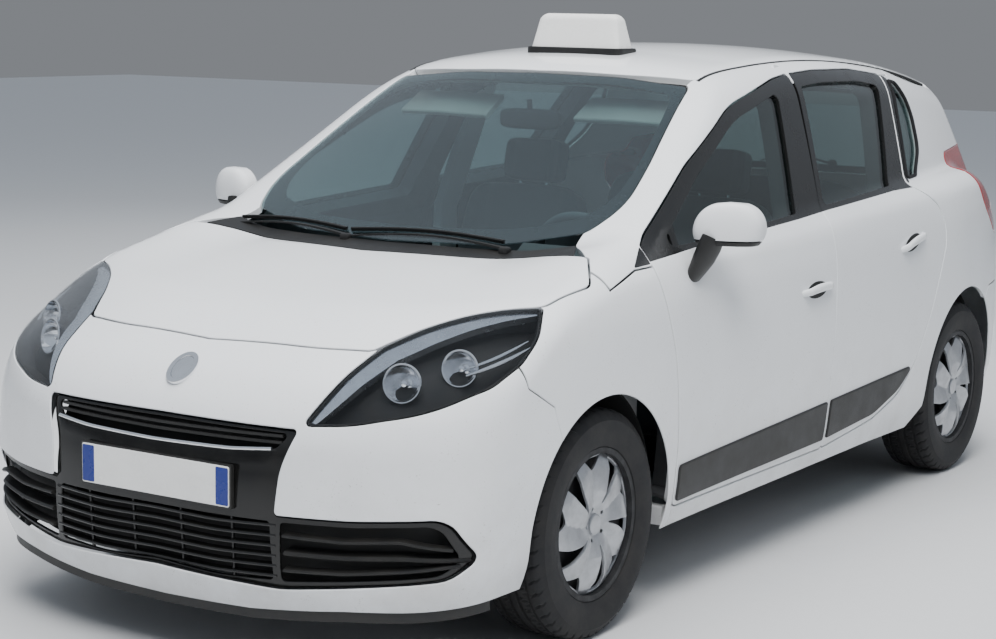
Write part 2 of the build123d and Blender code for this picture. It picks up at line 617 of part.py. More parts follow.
def drawn_y(y):
    """A drawn y at the car's sizes."""
    return float(np.interp(y, DRAWN_STATIONS, STATIONS))


def section(x0, x1, y0, y1, z):
    """Level rectangle for a loft."""
    return Pos((x0 + x1) / 2, (y0 + y1) / 2, z) * Rectangle(x1 - x0, y1 - y0)


def quarter_panel():
    """Rear side panel of the left side, from the door round to the tailgate, with its window cut."""
    panel = wall(between(QUARTER_SPAN, 9, 9, HUB_REAR), HUB_REAR, RAIL_WALL)
    panel = panel & side_prism(drawn_side(QUARTER_EDGE), 400, 1200)
    panel = panel - side_prism(grown(drawn_side(REAR_DOOR), PANEL_GAP / 2), 400, 1200)
    panel = panel - side_prism(drawn_side(REAR_SWING), 400, 1200)
    panel = panel - side_prism(drawn_side(QUARTER_WINDOW), 400, 1200)
    panel = panel - side_prism(grown(drawn_side(TAIL_LAMP), SEAT_GAP), 0, 1200)
    panel = panel - front_prism(grown(drawn_front(TAILGATE_EDGE), LID_GAP), REAR_AXLE, HALF_LENGTH + 100)
    panel = panel - top_prism(grown(drawn_top(ROOF_EDGE), SEAT_GAP), 1300, BODY_HEIGHT + 100)
    return panel - arch(REAR_ARCH, axle=REAR_AXLE)


def tail_lamp():
    """Tail lamp of the left side, set into the quarter panel."""
    lamp = wall(between(QUARTER_SPAN, 9, 9, HUB_REAR), HUB_REAR, RAIL_WALL)
    lamp = lamp & side_prism(grown(drawn_side(TAIL_LAMP), -SEAT_GAP), 0, 1200)
    return lamp - front_prism(grown(drawn_front(TAILGATE_EDGE), LID_GAP), REAR_AXLE, HALF_LENGTH + 100)


def front_wing():
    """Front wing of the left side: a single skin from the headlamp to the door."""
    wing = wall(between(WING_SPAN, 8, 8, beneath(0.25, 500)), (0, FRONT_AXLE, 500), COVER_WALL)
    wing = wing & side_prism(drawn_side(WING_EDGE), 400, 1200)
    wing = wing - top_prism(grown(drawn_top(BONNET_EDGE), PANEL_GAP), 500, BODY_HEIGHT)
    wing = wing - side_prism(grown(drawn_side(FRONT_DOOR), PANEL_GAP), 400, 1200)
    wing = wing - slanted_prism(HEADLAMP, LAMP_AXIS, *LAMP_REACH, SEAT_GAP)
    return wing - arch(FRONT_ARCH)


def front_bumper():
    """Nose and bumper in one skin, open at the grille and headlamps."""
    nose = wall(between(NOSE_SPAN, 9, 8, HUB_FRONT), HUB_FRONT, COVER_WALL)
    nose = nose & side_prism(drawn_side(NOSE_EDGE), -100, 1200)
    nose = nose - top_prism(grown(drawn_top(BONNET_EDGE), NOSE_GAP), 500, BODY_HEIGHT)
    nose = nose - slanted_prism(HEADLAMP, LAMP_AXIS, *LAMP_REACH, SEAT_GAP)
    nose = nose - front_prism(drawn_front(GRILLE_EDGE), -HALF_LENGTH - 100, FRONT_AXLE)
    return across(nose - arch(FRONT_ARCH))


def grille():
    """Black panel of the nose: an upper slot, a plain middle for the plate and a lower field of bars."""
    panel = wall(between(NOSE_SPAN, 9, 8, HUB_FRONT, GRILLE_SET), HUB_FRONT, COVER_WALL)
    panel = panel & front_prism(grown(drawn_front(GRILLE_EDGE), -SEAT_GAP), -HALF_LENGTH - 100, FRONT_AXLE)
    panel = across(panel)
    for half, low, high in GRILLE_SLOTS:
        slot = [(-half, low, 6), (half, low, 6), (half - 8, high, 6), (8 - half, high, 6)]
        panel = panel - front_prism(slot, -HALF_LENGTH - 100, FRONT_AXLE)
    return panel


def headlamp():
    """Headlamp of the left side: lens and body as one solid of the lamp's outline."""
    lamp = wall(between(LAMP_SPAN, 8, 8, (0, -1300, 300)), (0, -1300, 300), LAMP_DEPTH)
    lamp = lamp & slanted_prism(HEADLAMP, LAMP_AXIS, *LAMP_REACH)
    return lamp - top_prism(grown(drawn_top(BONNET_EDGE), PANEL_GAP), 500, BODY_HEIGHT)


def rear_bumper():
    """Rear bumper skin from one rear arch round to the other."""
    skin = wall(between(TAIL_SPAN, 9, 7, (0, 1250, 400)), (0, 1250, 400), COVER_WALL)
    skin = skin & side_prism(drawn_side(TAIL_EDGE), -100, 1200)
    skin = skin - front_prism(grown(drawn_front(TAILGATE_EDGE), LID_GAP), REAR_AXLE, HALF_LENGTH + 100)
    return across(skin - arch(REAR_ARCH, axle=REAR_AXLE))


def bonnet():
    """Bonnet lid."""
    lid = wall(between(BONNET_SPAN, 9, 8, beneath(0.9, 400)), (0, -1500, 0), LID)
    return across(lid) & top_prism(drawn_top(BONNET_EDGE), 500, BODY_HEIGHT)


def roof_panel():
    """Roof between the two rails."""
    panel = wall(between(ROOF_SPAN, 8, 7, beneath(0.95, 1000)), (0, 500, 0), RAIL_WALL)
    return panel & top_prism(drawn_top(ROOF_EDGE), 1000, BODY_HEIGHT + 100)


def cowl():
    """Panel between the bonnet and the windscreen."""
    panel = wall(between(COWL_SPAN, 8, 6, beneath(0.9, 500)), (0, -1200, 0), SKIN)
    panel = panel & top_prism(drawn_top(COWL_EDGE), 500, BODY_HEIGHT)
    return panel - top_prism(grown(drawn_top(BONNET_EDGE), PANEL_GAP), 500, BODY_HEIGHT)


def windscreen():
    """Windscreen glass."""
    glass = wall(between(SCREEN_SPAN, 8, 7, behind(0.8, 100, 700), 0, cabin), (0, 100, 700), GLASS)
    return glass & front_prism(drawn_front(SCREEN_EDGE), -1400, 0)


def quarter_glass():
    """Fixed glass behind the rear door, left side."""
    glass = wall(between(QUARTER_SPAN, 9, 9, HUB_REAR, GLASS_SET), HUB_REAR, GLASS)
    return glass & side_prism(grown(drawn_side(QUARTER_WINDOW), -SEAT_GAP), 400, 1200)


def tailgate(inset, thickness, narrower=0.0):
    """Tailgate as a wall of one thickness, before its window is cut."""
    lid = wall(between(TAILGATE_SPAN, 8, 9, behind(0.8, 1000, 900), inset), (0, 1000, 900), thickness)
    edge = grown(drawn_front(TAILGATE_EDGE), -narrower) if narrower else drawn_front(TAILGATE_EDGE)
    lid = lid & front_prism(edge, REAR_AXLE, HALF_LENGTH + 100)
    return lid - top_prism(grown(drawn_top(ROOF_EDGE), PANEL_GAP), 1300, BODY_HEIGHT + 100)


# Inside and underneath

def floor_pan():
    """Floor with its tunnel, bulkhead, rear step, strut towers and front legs."""
    half = FLOOR_HALF
    low, high = FLOOR_Z, FLOOR_Z + FLOOR
    front, step, back = drawn_y(-940), drawn_y(545), drawn_y(2070)
    pan = block(-half, half, front, step, low, high)
    pan = pan - block(-TUNNEL_HALF + FLOOR / 2, TUNNEL_HALF - FLOOR / 2, front, step, low, high)
    tunnel = block(-TUNNEL_HALF, TUNNEL_HALF, front, step, low, TUNNEL_TOP)
    inner = TUNNEL_HALF - FLOOR / 2
    pan = pan + (tunnel - block(-inner, inner, front, step, low, TUNNEL_TOP - FLOOR / 2))
    pan = pan + block(-half, half, front - FLOOR, front, TUNNEL_TOP, COWL_SHELF)
    pan = pan + (block(-half, half, front - FLOOR, front, low, TUNNEL_TOP)
                 - block(-inner, inner, front - FLOOR, front, low, TUNNEL_TOP - FLOOR / 2))
    pan = pan + (block(-half, half, step - FLOOR, step, high, REAR_FLOOR + FLOOR)
                 - block(-inner, inner, step - FLOOR, step, high, TUNNEL_TOP - FLOOR / 2))
    pan = pan + block(-REAR_HALF, REAR_HALF, step, back, REAR_FLOOR, REAR_FLOOR + FLOOR)
    pan = pan + block(-SLAM_HALF, SLAM_HALF, back - FLOOR, back, REAR_FLOOR, SLAM_TOP)
    for side in (-1, 1):
        x0, x1 = sorted((side * LEG_IN, side * LEG_OUT))
        pan = pan + block(x0, x1, LEG_FRONT, front, LEG_Z, LEG_Z + LEG_HIGH)
        tower = rod((side * TOWER_X, FRONT_AXLE, TOWER_LOW), (side * TOWER_X, FRONT_AXLE, TOWER_TOP), TOWER_RADIUS)
        well = rod((side * TOWER_X, FRONT_AXLE, TOWER_LOW), (side * TOWER_X, FRONT_AXLE, TOWER_TOP - FLOOR / 2),
                   TOWER_RADIUS - FLOOR / 3)
        rail0, rail1 = sorted((side * TOWER_X, side * (half - 20)))
        pan = pan + block(rail0, rail1, FRONT_AXLE - 40, front, TOWER_TOP - FLOOR, TOWER_TOP)
        apron0, apron1 = sorted((side * (LEG_OUT - FLOOR / 2), side * LEG_OUT))
        pan = pan + block(apron0, apron1, FRONT_AXLE - TOWER_RADIUS, front, LEG_Z + LEG_HIGH, TOWER_TOP)
        pan = (pan + tower) - well
    shelf = block(-SCUTTLE_HALF, SCUTTLE_HALF, SCUTTLE_Y, front, COWL_SHELF - FLOOR, COWL_SHELF)
    riser = block(-SCUTTLE_HALF, SCUTTLE_HALF, SCUTTLE_Y, SCUTTLE_Y + FLOOR, COWL_SHELF, BODY_HEIGHT)
    under = surface(between(COWL_SPAN, 8, 6, beneath(0.9, 500), SKIN + SEAT_GAP))
    pan = pan + shelf + (riser & solid_of(Solid.extrude(under, Vector(0, 0, -300))))
    pan = pan + block(-LEG_OUT, LEG_OUT, LEG_FRONT, LEG_FRONT + FLOOR, LEG_Z - 60, LEG_Z + LEG_HIGH)
    well = arch(LINER_OUTER + PANEL_GAP, LEG_OUT, BODY_WIDTH) & block(0, BIG, -BIG, BIG, 0, TOWER_LOW)
    return pan - well - mirrored(well)


def liner(axle, outer, x0, x1, gap=None):
    """Wheel arch liner, left side: a half ring above the wheel, with room for the strut."""
    ring = disc(x0, x1, axle, TYRE_RADIUS, outer) - disc(x0, x1, axle, TYRE_RADIUS, outer - LINER_WALL)
    ring = ring & block(0, BIG, -BIG, BIG, TYRE_RADIUS - LINER_DROP, BIG)
    if gap:
        ring = ring - block(x0 - 1, gap, axle - TOWER_RADIUS - 12, axle + TOWER_RADIUS + 12, TYRE_RADIUS, BIG)
    return ring


def front_seat(x):
    """Front seat as one plain solid: cushion, back and head restraint."""
    side = [(-400, 300, 40), (-420, 560, 60), (60, 530, 40), (250, 1090, 60), (330, 1070, 60),
            (190, 520, 60), (150, 300, 20)]
    seat = side_prism([(drawn_y(y), z, r) for y, z, r in side], x - SEAT_HALF, x + SEAT_HALF)
    seat = fillet(seat.edges().group_by(Axis.X)[0] + seat.edges().group_by(Axis.X)[-1], 24)
    rest = side_prism([(drawn_y(y), z, r) for y, z, r in [(262, 1110, 20), (285, 1270, 40), (355, 1260, 40),
                                                          (340, 1105, 20)]], x - 120, x + 120)
    stalk = [rod((x + dx, drawn_y(290), 1060), (x + dx, drawn_y(305), 1130), 8) for dx in (-60, 60)]
    base = block(x - 200, x + 200, drawn_y(-330), drawn_y(110), FLOOR_Z + FLOOR + SEAT_GAP, 330)
    return seat + rest + stalk[0] + stalk[1] + base


def rear_seat():
    """Rear bench as one plain solid."""
    side = [(640, BENCH_Z, 20), (620, 580, 60), (1060, 560, 40), (1180, 1090, 60), (1260, 1080, 60),
            (1180, BENCH_Z, 20)]
    bench = side_prism([(drawn_y(y), z, r) for y, z, r in side], -BENCH_HALF, BENCH_HALF)
    return fillet(bench.edges().group_by(Axis.X)[0] + bench.edges().group_by(Axis.X)[-1], 24)


def dashboard():
    """Dashboard with its binnacle and the fixed steering column."""
    rows = [(-915, 640, 20), (-915, 960, 20), (-860, 985, 60), (-700, 975, 60), (-640, 900, 50),
            (-690, 700, 80), (-800, 640, 40)]
    body_part = side_prism([(drawn_y(y), z, r) for y, z, r in rows], -DASH_HALF, DASH_HALF)
    hood = side_prism([(drawn_y(y), z, r) for y, z, r in [(-800, 940, 10), (-700, 1015, 30), (-620, 1000, 20),
                                                          (-600, 890, 20), (-700, 860, 10)]],
                      WHEEL_AT[0] - 150, WHEEL_AT[0] + 150)
    console = block(-90, 90, drawn_y(-700), drawn_y(-330), TUNNEL_TOP + 2, 560)
    console = console + block(-110, 110, drawn_y(-780), drawn_y(-660), TUNNEL_TOP + 2, 720)
    shroud = rod(column(-260), column(-WHEEL_BOSS / 2 - PANEL_GAP), 34)
    shaft = rod(column(-200), column(4), SHAFT_RADIUS)
    return body_part + hood + console + shroud + shaft


def column(distance):
    """Point along the steering column's axis, measured from the steering wheel's middle."""
    return tuple(at + distance * way for at, way in zip(WHEEL_AT, COLUMN_AXIS))


def steering_wheel():
    """Steering wheel: rim, three spokes and a boss bored for its shaft."""
    plane = Plane(origin=WHEEL_AT, x_dir=(1, 0, 0), z_dir=COLUMN_AXIS)
    rim = Torus(WHEEL_RIM, WHEEL_GRIP)
    boss = Cylinder(46, WHEEL_BOSS)
    wheel = rim + boss
    for turn in (0, 180, 270):
        wheel = wheel + Rot(0, 0, turn) * Pos(WHEEL_RIM / 2 + 10, 0, 0) * Box(WHEEL_RIM - 30, 34, 14)
    bore = Pos(0, 0, -WHEEL_BOSS / 2) * Cylinder(SHAFT_RADIUS + STUB_CLEARANCE, WHEEL_BOSS / 2 + 6,
                                                 align=(Align.CENTER, Align.CENTER, Align.MIN))
    return plane * (wheel - bore)


def engine_and_radiator():
    """Engine with gearbox as one plain block, and the radiator ahead of it."""
    engine = block(-390, 400, drawn_y(-1700), drawn_y(-1190), 320, 850)
    engine = chamfer(engine.edges(), 30)
    for x0, x1 in ((-LEG_IN + SEAT_GAP, -380), (390, LEG_IN - SEAT_GAP)):
        engine = engine + block(x0, x1, FRONT_AXLE - 160, FRONT_AXLE - 80, LEG_Z + 20, LEG_Z + 80)
    radiator = block(-330, 330, LEG_FRONT + FLOOR + SEAT_GAP, LEG_FRONT + FLOOR + 44, 320, 760)
    return Compound(children=[*engine.solids(), radiator])


def front_subframe():
    """Front cradle with the two lower arms, steering rack and anti-roll bar left plain."""
    y0, y1 = FRONT_AXLE - 150, FRONT_AXLE + 180
    cradle = block(-400, 400, y0, y1, CRADLE_Z, CRADLE_Z + 50) - block(-300, 300, y0 + 70, y1 - 110,
                                                                      CRADLE_Z, CRADLE_Z + 50)
    rows = [(380, -110, 20), (640, -52, 60), (BALL[0] + 32, -32, 30), (BALL[0] + 32, 32, 30), (640, 52, 60),
            (560, 110, 60), (380, 160, 20)]
    for side in (-1, 1):
        arm = top_prism([(side * x, FRONT_AXLE + y, r) for x, y, r in rows], BALL[2] - 12, BALL[2] + 12)
        riser0, riser1 = sorted((side * 380, side * 400))
        cradle = cradle + arm + block(riser0, riser1, y0, y1, BALL[2] - 12, CRADLE_Z + 50)
        post0, post1 = sorted((side * 380, side * (LEG_OUT - 20)))
        for y in (y0, y1 - 50):
            cradle = cradle + block(post0, post1, y, y + 50, CRADLE_Z + 20, CRADLE_Z + 50)
            post2, post3 = sorted((side * (LEG_IN + 6), side * (LEG_OUT - 20)))
            cradle = cradle + block(post2, post3, y, y + 50, CRADLE_Z + 50, LEG_Z - SEAT_GAP)
        socket = rod(kingpin(-60, side), kingpin(60, side), PIN_RADIUS + SEAT_GAP)
        cradle = cradle - socket
    return cradle


def kingpin(rise, side=1):
    """Point on the left or right kingpin axis, a height above its lower ball joint."""
    share = rise / (STRUT[2] - BALL[2])
    return side * (BALL[0] + share * (STRUT[0] - BALL[0])), BALL[1], BALL[2] + rise


def knuckle():
    """Left front knuckle with its stub axle, strut and spring, which turn together."""
    x, y, z = BALL
    pin = rod(kingpin(-14), kingpin(40), PIN_RADIUS)
    upright = block(x - 22, x + 8, y - 46, y + 46, z + 12 + PANEL_GAP, z + 262)
    bracket = block(STRUT[0] - 30, x + 8, y - 34, y + 34, z + 246, z + 292)
    stub = disc(x, TRACK / 2 + STUB_REACH, y, TYRE_RADIUS, STUB_RADIUS)
    tube = rod((STRUT[0], y, z + 250), STRUT, 24)
    upper = tuple(a + (b - a) * SPRING_SHARE for a, b in zip((STRUT[0], y, z + 250), STRUT))
    spring = rod(upper, STRUT, SPRING_RADIUS)
    return pin + upright + bracket + stub + tube + spring


def rear_axle():
    """Twist beam rear axle: cross beam, two trailing arms, springs' seats and stub axles."""
    y, z = REAR_AXLE, TYRE_RADIUS
    beam = block(-BEAM_ARM, BEAM_ARM, y - 260, y - 190, 230, 296)
    for side in (-1, 1):
        x0, x1 = sorted((side * BEAM_ARM, side * (BEAM_ARM + 46)))
        beam = beam + block(x0, x1, y - 430, y + 60, 262, 346)
        beam = beam + rod((x0 - 8, y - 420, 304), (x1 + 8, y - 420, 304), 44)
        beam = beam + rod((side * (BEAM_ARM + 40), y, z), (side * (TRACK / 2 + STUB_REACH), y, z), STUB_RADIUS)
        beam = beam + rod((side * (BEAM_ARM + 23), y + 30, 300), (side * (BEAM_ARM + 23), y + 30,
                                                                  REAR_FLOOR - SEAT_GAP), 20)
    return beam


def fuel_tank():
    """Fuel tank under the rear seat."""
    tank = block(70, 520, drawn_y(575), drawn_y(925), FLOOR_Z, REAR_FLOOR - SEAT_GAP)
    return fillet(tank.edges(), 30)


def exhaust():
    """Exhaust pipe and rear silencer."""
    path = FilletPolyline([(0, drawn_y(-1100), 280), (0, drawn_y(620), 280), (-220, drawn_y(900), 340),
                           (-220, drawn_y(1740), 340)], radius=150)
    pipe = sweep(Plane(origin=path @ 0, z_dir=path % 0) * Circle(EXHAUST_RADIUS), path=path)
    silencer_z = REAR_FLOOR - SEAT_GAP - SILENCER_RADIUS
    silencer = rod((-420, drawn_y(1800), silencer_z), (160, drawn_y(1800), silencer_z), SILENCER_RADIUS)
    tail = rod((-380, drawn_y(1800), 300), (-380, drawn_y(2060), 236), EXHAUST_RADIUS)
    return pipe + silencer + tail


def roof_sign():
    """Taxi sign on the roof: a tapered box on a low base that fits the roof."""
    x, y, _ = SIGN_AT
    base = block(x - SIGN_HALF - 12, x + SIGN_HALF + 12, y - 70, y + 70, SIGN_AT[2] - 60, SIGN_AT[2])
    points = between(ROOF_SPAN, 8, 7, beneath(0.95, 1000), -SEAT_GAP)
    below = solid_of(Solid.extrude(surface(points), Vector(0, 0, -400)))
    foot = section(x - SIGN_HALF, x + SIGN_HALF, y - 60, y + 60, SIGN_AT[2])
    top = section(x - SIGN_HALF + 26, x + SIGN_HALF - 26, y - 32, y + 32, SIGN_AT[2] + SIGN_HIGH)
    sign = loft([foot, top], ruled=True)
    sign = fillet(sign.edges().filter_by(lambda e: abs(e.tangent_at(0.5).Z) > 0.5), 10)
    return (base - below) + sign


# Wheels and mirrors

def tyre():
    """Tyre: a turned ring of few flat bands, about the X axis at the origin."""
    half, bead = TYRE_WIDTH / 2, TYRE_RADIUS - SIDEWALL + SEAT_GAP
    outer = [(half - 18, bead), (half - 3, bead + 22), (half, bead + 50), (half - 6, TYRE_RADIUS - 26),
             (half - 22, TYRE_RADIUS - 3)]
    inner = [(-x, radius) for x, radius in reversed(outer)]
    return turned([*outer, (0, TYRE_RADIUS), *inner])


def turned(rows):
    """Ring turned about the X axis from an outline of x and radius."""
    return revolve(Plane.XZ * Face(outline(rows)), Axis.X)


def wheel():
    """Left steel wheel with its hub and a silver cover of curved spokes, about the X axis at the origin."""
    half = TYRE_WIDTH / 2
    rim = TYRE_RADIUS - SIDEWALL
    flange = half - 14
    rows = [(-flange, rim - 16), (-flange, rim), (-flange + 7, rim), (-flange + 14, rim - RIM_LIP),
            (flange - 14, rim - RIM_LIP), (flange - 7, rim), (flange, rim), (flange, rim - 16)]
    steel = turned(rows)
    plate = [(DISC_AT, STUB_RADIUS + STUB_CLEARANCE), (DISC_AT, rim - 12), (DISC_AT + 8, rim - 12),
             (DISC_AT + 8, 90), (DISC_AT + 20, 70), (DISC_AT + 20, STUB_RADIUS + STUB_CLEARANCE)]
    hub = [(DISC_AT - 60, STUB_RADIUS + STUB_CLEARANCE), (DISC_AT - 60, 62), (DISC_AT + 4, 72),
           (DISC_AT + 4, STUB_RADIUS + STUB_CLEARANCE)]
    cover = [(flange - 12, rim - 24), (flange - 3, rim - 12), (flange + 4, rim - 26), (COVER_FACE, 120, 90),
             (COVER_FACE, 0), (COVER_FACE - COVER_WALL, 0), (COVER_FACE - COVER_WALL, 118, 90),
             (flange - 5, rim - 34)]
    for profile in (plate, hub):
        steel = steel + turned(profile)
    face = turned(cover)
    slot = [(58, -9), (118, -30, 60), (rim - 42, -22), (rim - 42, 44), (120, 6, 60)]
    for i in range(COVER_SPOKES):
        opening = Plane.YZ.offset(flange - 60) * extrude(Face(outline(slot)), 120)
        face = face - Rot(360 / COVER_SPOKES * i, 0, 0) * opening
    ring = [(flange - 20, rim - 22), (flange - 20, rim - 10), (flange - 4, rim - 10), (flange - 4, rim - 22)]
    return steel + face + turned(ring)


def door_mirror():
    """Left door mirror: a rounded housing on a foot that seats on the door's skin."""
    housing = Pos(*MIRROR_AT) * Box(200, 96, 126)
    housing = fillet(housing.edges(), 34)
    x, y, z = MIRROR_AT
    foot = loft([section(x - 99, x - 53, y - 35, y + 35, z - 50),
                 section(x - 126, x - 26, y - 67, y + 43, MIRROR_FOOT_Z)], ruled=True)
    return (housing + foot) - side_block(*FRONT_DOOR_SPAN, 8, 8, -SEAT_GAP)


# Write every piece

def build():
    """Every node by name."""
    nodes = {"front_fenders": pair(front_wing()), "front_bumper": front_bumper(), "grille": grille(),
             "headlamps": pair(headlamp()), "bonnet": bonnet(), "cowl": cowl(),
             "side_frames": pair(side_frame()), "quarter_panels": pair(quarter_panel()),
             "roof_panel": roof_panel(), "rear_bumper": rear_bumper(), "tail_lamps": pair(tail_lamp()),
             "fixed_glass": Compound(children=[windscreen(), *pair(quarter_glass()).solids()])}
    lid = tailgate(0, LID_LIP) + tailgate(LID_LIP / 2, LID + DOOR_INSET - LID_LIP / 2, DOOR_INSET)
    window = front_prism(drawn_front(TAILGATE_WINDOW), REAR_AXLE, HALF_LENGTH + 100)
    nodes["tailgate"] = lid - window
    pane_edge = front_prism(grown(drawn_front(TAILGATE_WINDOW), -SEAT_GAP), REAR_AXLE, HALF_LENGTH + 100)
    nodes["tailgate_glass"] = tailgate(GLASS_SET, GLASS) & pane_edge
    shapes = {"door_front": door(FRONT_DOOR, FRONT_DOOR_SPAN, FRONT_WINDOW),
              "door_rear": door(REAR_DOOR, REAR_DOOR_SPAN, REAR_WINDOW),
              "door_glass_front": pane(FRONT_WINDOW, FRONT_DOOR_SPAN),
              "door_glass_rear": pane(REAR_WINDOW, REAR_DOOR_SPAN),
              "door_mirror": door_mirror(), "knuckle": knuckle()}
    for name, shape in shapes.items():
        nodes[name + "_left"] = shape
        nodes[name + "_right"] = mirrored(shape)
    rubber, steel = tyre(), wheel()
    for end, axle in (("front", FRONT_AXLE), ("rear", REAR_AXLE)):
        at = Pos(TRACK / 2, axle, TYRE_RADIUS)
        nodes[f"tyre_{end}_left"], nodes[f"tyre_{end}_right"] = at * rubber, mirrored(at * rubber)
        nodes[f"wheel_{end}_left"], nodes[f"wheel_{end}_right"] = at * steel, mirrored(at * steel)
    front_ring = liner(FRONT_AXLE, LINER_OUTER, LEG_OUT + SEAT_GAP, LINER_OUT[0], TOWER_X + TOWER_RADIUS + 8)
    rear_ring = liner(REAR_AXLE, REAR_ARCH + 2 * PANEL_GAP, REAR_HALF + SEAT_GAP, LINER_OUT[1])
    nodes["wheel_arch_liners"] = Compound(children=[*pair(front_ring).solids(), *pair(rear_ring).solids()])
    nodes["floor_pan"] = floor_pan()
    nodes["seats"] = Compound(children=[front_seat(SEAT_AT), front_seat(-SEAT_AT), rear_seat()])
    nodes["dashboard"] = dashboard()
    nodes["steering_wheel"] = steering_wheel()
    nodes["engine_and_radiator"] = engine_and_radiator()
    nodes["front_subframe"] = front_subframe()
    nodes["rear_axle"] = rear_axle()
    nodes["fuel_tank"] = fuel_tank()
    nodes["exhaust"] = exhaust()
    nodes["roof_sign"] = roof_sign()
    return nodes


os.makedirs("parts", exist_ok=True)
for name, shape in build().items():
    export_step(shape, f"parts/{name}.step")
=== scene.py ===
"""A compact white people carrier in service as a taxi cab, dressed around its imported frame.

The outer skin is worked out from one form, the same tables as the car's solids use, in millimetres:
the car faces -Y, its left side is +X and the ground is z = 0. Each panel is cut out of that form by
its own outline, gets a rolled edge and a wall, and is put down in metres.
"""

import json
import logging
import math
from dataclasses import dataclass
from enum import Enum

import bpy
import numpy as np
from mathutils import Matrix, Vector
from mathutils.geometry import delaunay_2d_cdt

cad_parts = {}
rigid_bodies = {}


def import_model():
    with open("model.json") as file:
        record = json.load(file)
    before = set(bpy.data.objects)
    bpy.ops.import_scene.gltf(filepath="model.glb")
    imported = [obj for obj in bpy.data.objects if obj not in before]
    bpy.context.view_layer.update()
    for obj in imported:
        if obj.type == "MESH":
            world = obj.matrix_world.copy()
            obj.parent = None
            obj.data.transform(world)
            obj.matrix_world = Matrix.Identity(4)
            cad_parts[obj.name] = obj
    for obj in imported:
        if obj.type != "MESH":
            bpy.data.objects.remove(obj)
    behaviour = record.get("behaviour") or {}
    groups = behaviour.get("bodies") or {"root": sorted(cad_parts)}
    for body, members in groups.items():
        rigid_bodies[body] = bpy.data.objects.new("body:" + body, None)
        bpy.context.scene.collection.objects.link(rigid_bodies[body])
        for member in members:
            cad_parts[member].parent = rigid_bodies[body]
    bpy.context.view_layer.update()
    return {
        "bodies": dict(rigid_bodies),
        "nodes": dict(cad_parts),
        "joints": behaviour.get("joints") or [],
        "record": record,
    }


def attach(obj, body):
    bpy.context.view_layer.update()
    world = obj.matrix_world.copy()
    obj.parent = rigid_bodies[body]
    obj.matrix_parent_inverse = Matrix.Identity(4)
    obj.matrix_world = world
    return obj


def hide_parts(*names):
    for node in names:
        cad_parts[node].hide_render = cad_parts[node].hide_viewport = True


logging.basicConfig(level=logging.INFO, format="%(message)s")
LOG = logging.getLogger("taxi")

MM = 0.001
Rows = list[tuple[float, ...]]


def curve(value: np.ndarray, rows: Rows) -> np.ndarray:
    """Read a short table as one smooth cubic curve that runs on straight past its ends.

    Args:
        value: where to read it.
        rows: pairs of place and height.

    Returns:
        The heights, as an array of the same shape.
    """
    at, height = np.array(rows, float).T
    value = np.asarray(value, float)
    step = np.diff(at)
    chord = np.diff(height) / step
    inner = (chord[:-1] * step[1:] + chord[1:] * step[:-1]) / (step[:-1] + step[1:])
    slope = np.concatenate([[chord[0]], inner, [chord[-1]]])
    span = np.clip(np.searchsorted(at, value) - 1, 0, len(at) - 2)
    run = (value - at[span]) / step[span]
    t = np.clip(run, 0, 1)
    bend = (
        height[span] * (2 * t**3 - 3 * t**2 + 1) + height[span + 1] * (
            3 * t**2 - 2 * t**3
        ) + step[span] * slope[span] * (t**3 - 2 * t**2 + t) + step[span] * slope[span + 1] * (t**3 - t**2)
    )
    before = np.minimum(run, 0) * step[span] * slope[span]
    after = np.maximum(run - 1, 0) * step[span] * slope[span + 1]
    return bend + before + after


def smooth_max(a: np.ndarray, b: np.ndarray, radius: float) -> np.ndarray:
    """Greater of two distances, with the edge rounded: max + (radius - |a - b|)^2 / 4 radius."""
    return np.maximum(a, b) + np.maximum(radius - np.abs(a - b), 0) ** 2 / (4 * radius)


def smooth_min(a: np.ndarray, b: np.ndarray, radius: float) -> np.ndarray:
    """Lesser of two distances, with the corner filled: min - (radius - |a - b|)^2 / 4 radius."""
    return np.minimum(a, b) - np.maximum(radius - np.abs(a - b), 0) ** 2 / (4 * radius)


class Field(Enum):
    """Which part of the form a panel lies on."""

    BODY = "body"
    CABIN = "cabin"
    LOWER = "lower"


